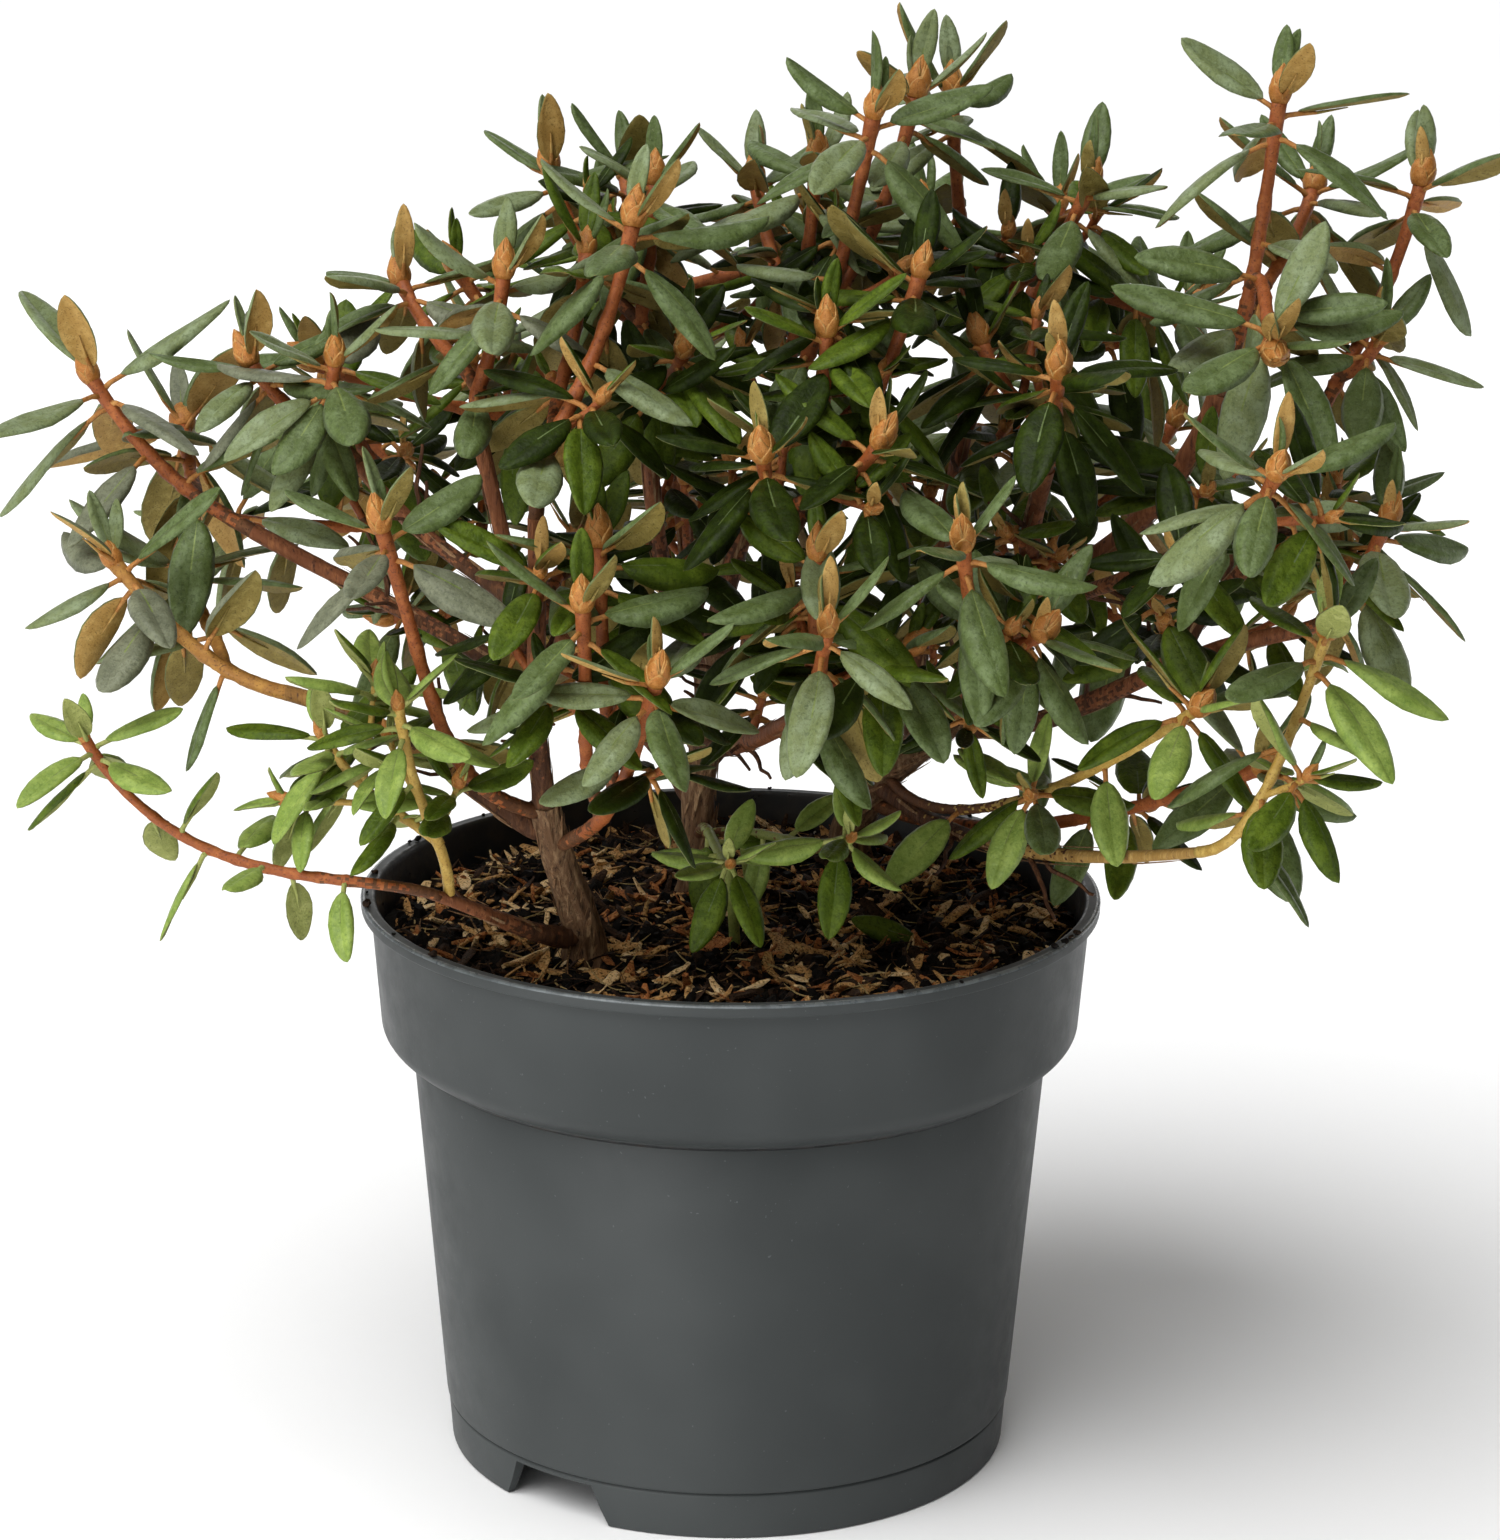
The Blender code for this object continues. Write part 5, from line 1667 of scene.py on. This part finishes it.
def pot_looks():
    """Satin grey plastic with faint cloudiness and specks, a darker inside that is painted shade, and a
    lighter lip band that is a painted highlight.
    """
    outside = Look("pot_outside", "404343", 0.4)
    outside.tint("393c3c", (60.0, 2.0), (0.4, 0.62))
    outside.tint("5c6061", (1.1, 1.0), (0.765, 0.79, 0.0, 0.6))
    outside.shine((9.0, 5.0, 0.7), 0.36, 0.5)
    outside.relief((30.0, 2.0), 0.25)
    outside.relief((0.8,), 0.02)
    # The inside is painted dark as the shade within the pot, with a faint brownish mottle
    inside = Look("pot_inside_shade", "1b1c1d", 0.35)
    inside.tint("2a2623", (6.0, 4.0), (0.5, 0.65))
    inside.shine((4.0, 5.0, 0.7), 0.25, 0.6)
    inside.relief((1.5,), 0.05)
    # The lighter lip band is a painted highlight along the rim
    lip = Look("pot_lip_highlight", "656b6d", 0.3)
    lip.tint("4e5355", (7.0, *SOFT_ROUGH), (0.42, 0.6))
    lip.shine((3.0,), 0.2, 0.36)
    lip.relief((1.0,), 0.04)
    return [outside.done(0.12), inside.done(0.5), lip.done(0.5)]


def peat_look(name, colour, light, dark):
    """Crumbly peat and bark, in light and dark grains."""
    look = Look(name, colour, 0.85)
    look.tint(light, (1.5, *SOFT_ROUGH), (0.5, 0.64))
    look.tint(dark, (0.6,), (0.5, 0.64))
    look.shine((1.2,), 0.65, 0.95)
    look.relief((0.5, *SOFT_ROUGH), 0.4)
    return look.done(0.16)


def litter_looks():
    return {
        "chips": [
            peat_look("chip_brown", "c4935a", "e4bc7e", "503822"),
            peat_look("chip_dark", "382619", "544030", "160f0a"),
            peat_look("chip_tan", "f0cc94", "fae2b6", "946e40"),
            peat_look("chip_red", "a8683a", "cc9058", "50301a"),
        ],
        "fibres": [
            peat_look("fibre_brown", "7c5c3c", "9c7c58", "4a3422"),
            peat_look("fibre_dark", "33241b", "4c382a", "1c1410"),
            peat_look("fibre_straw", "b89e68", "ccb484", "7c643e"),
        ],
        "crumbs": [
            peat_look("crumb_black", "0e0a07", "1a130d", "060403"),
            peat_look("crumb_brown", "2b1d13", "423022", "150e09"),
            peat_look("grain_white", "cfcabf", "e2ded6", "a8a196"),
        ],
    }


# Stage, in metres but for the camera's place

FLOOR_SIZE = 12.0
FLOOR_DROP = 0.0002
# The strength of the room's light from the left and from the right
ROOM_LIGHT = (0.46, 0.02)
SUN_POWER = 3.2
SUN_ANGLE = math.radians(56.0)
SUN_WAY = (0.36, 0.42, -1.0)
# Panel: place, what it aims at, size (wide, tall), power in watts
PANELS = {
    "left": ((-1.2, -0.9, 0.5), (0.0, 0.0, 0.15), (0.5, 1.0), 1.6),
    "low_left": ((-0.5, -0.86, 0.08), (0.0, 0.0, 0.06), (0.8, 0.15), 3.6),
    "right": ((0.8, 0.8, 0.3), (0.0, 0.0, 0.1), (0.12, 0.6), 0.5),
    "behind": ((0.0, 1.7, 0.8), (0.0, 0.0, 0.2), (1.2, 0.8), 4.0),
}
CAMERA_PLACE = (4.7, -1150.0, 504.4)
CAMERA_PITCH = 15.77
CAMERA_ROLL = 0.46
PHOTO_TALL = 1540
FOCAL_PIXELS = 4682
SENSOR = 36.0


def make_floor():
    """A wide plain pale floor."""
    look = Look("floor_pale", "fafafa", 0.8)
    look.tint("f8f8f8", (300.0, 2.0), (0.4, 0.6))
    look.relief((3.0, 2.0), 0.02)
    bpy.ops.mesh.primitive_plane_add(size=FLOOR_SIZE, location=(0.0, 0.0, -FLOOR_DROP))
    floor = bpy.context.object
    floor.name = "floor"
    floor.data.materials.append(look.done(0.2))


def shine_along(name, data, way):
    """A lamp that shines along this way."""
    lamp = put(name, data)
    lamp.rotation_euler = Vector(way).to_track_quat("-Z", "Y").to_euler()
    return lamp


def make_lights():
    """A soft high light from the front left, a pale room that is dimmer to the right, and four panels."""
    scene = bpy.context.scene
    scene.view_settings.view_transform = "Standard"
    scene.world = scene.world or bpy.data.worlds.new("world")
    scene.world.use_nodes = True
    tree = scene.world.node_tree
    way = tree.nodes.new("ShaderNodeTexCoord")
    split = tree.nodes.new("ShaderNodeSeparateXYZ")
    spread = tree.nodes.new("ShaderNodeMapRange")
    for name, value in zip(("From Min", "From Max", "To Min", "To Max"), (-1.0, 1.0, *ROOM_LIGHT)):
        spread.inputs[name].default_value = value
    tree.links.new(way.outputs["Generated"], split.inputs["Vector"])
    tree.links.new(split.outputs["X"], spread.inputs["Value"])
    tree.links.new(spread.outputs["Result"], tree.nodes["Background"].inputs["Strength"])
    tree.nodes["Background"].inputs["Color"].default_value = (1.0, 1.0, 1.0, 1.0)
    sun = bpy.data.lights.new("sun", "SUN")
    sun.energy = SUN_POWER
    sun.angle = SUN_ANGLE
    shine_along("sun", sun, SUN_WAY)
    for name, (place, aim, size, power) in PANELS.items():
        data = bpy.data.lights.new(name, "AREA")
        data.shape = "RECTANGLE"
        data.size, data.size_y = size
        data.energy = power
        shine_along(name, data, Vector(aim) - Vector(place)).location = place


def make_camera():
    """At the photograph's viewing angle, which its pot's ellipses give."""
    data = bpy.data.cameras.new("camera")
    data.sensor_fit = "VERTICAL"
    data.sensor_height = SENSOR
    data.lens = SENSOR * FOCAL_PIXELS / PHOTO_TALL
    camera = put("camera", data)
    turn = Matrix.Rotation(math.radians(90.0 - CAMERA_PITCH), 4, "X")
    roll = Matrix.Rotation(math.radians(CAMERA_ROLL), 4, "Z")
    camera.matrix_world = Matrix.Translation(Vector(CAMERA_PLACE) * MM) @ turn @ roll
    bpy.context.scene.camera = camera


def main():
    make_camera()
    looks = {"leaves": leaf_looks(), "twigs": twig_looks(), "buds": bud_looks()}
    limbs = make_foliage(looks)
    make_wood(limbs, wood_looks())
    make_pot(pot_looks())
    litter = litter_looks()
    make_soil([litter["crumbs"][CRUMB_BLACK]])
    make_litter(litter)
    make_floor()
    make_lights()


main()
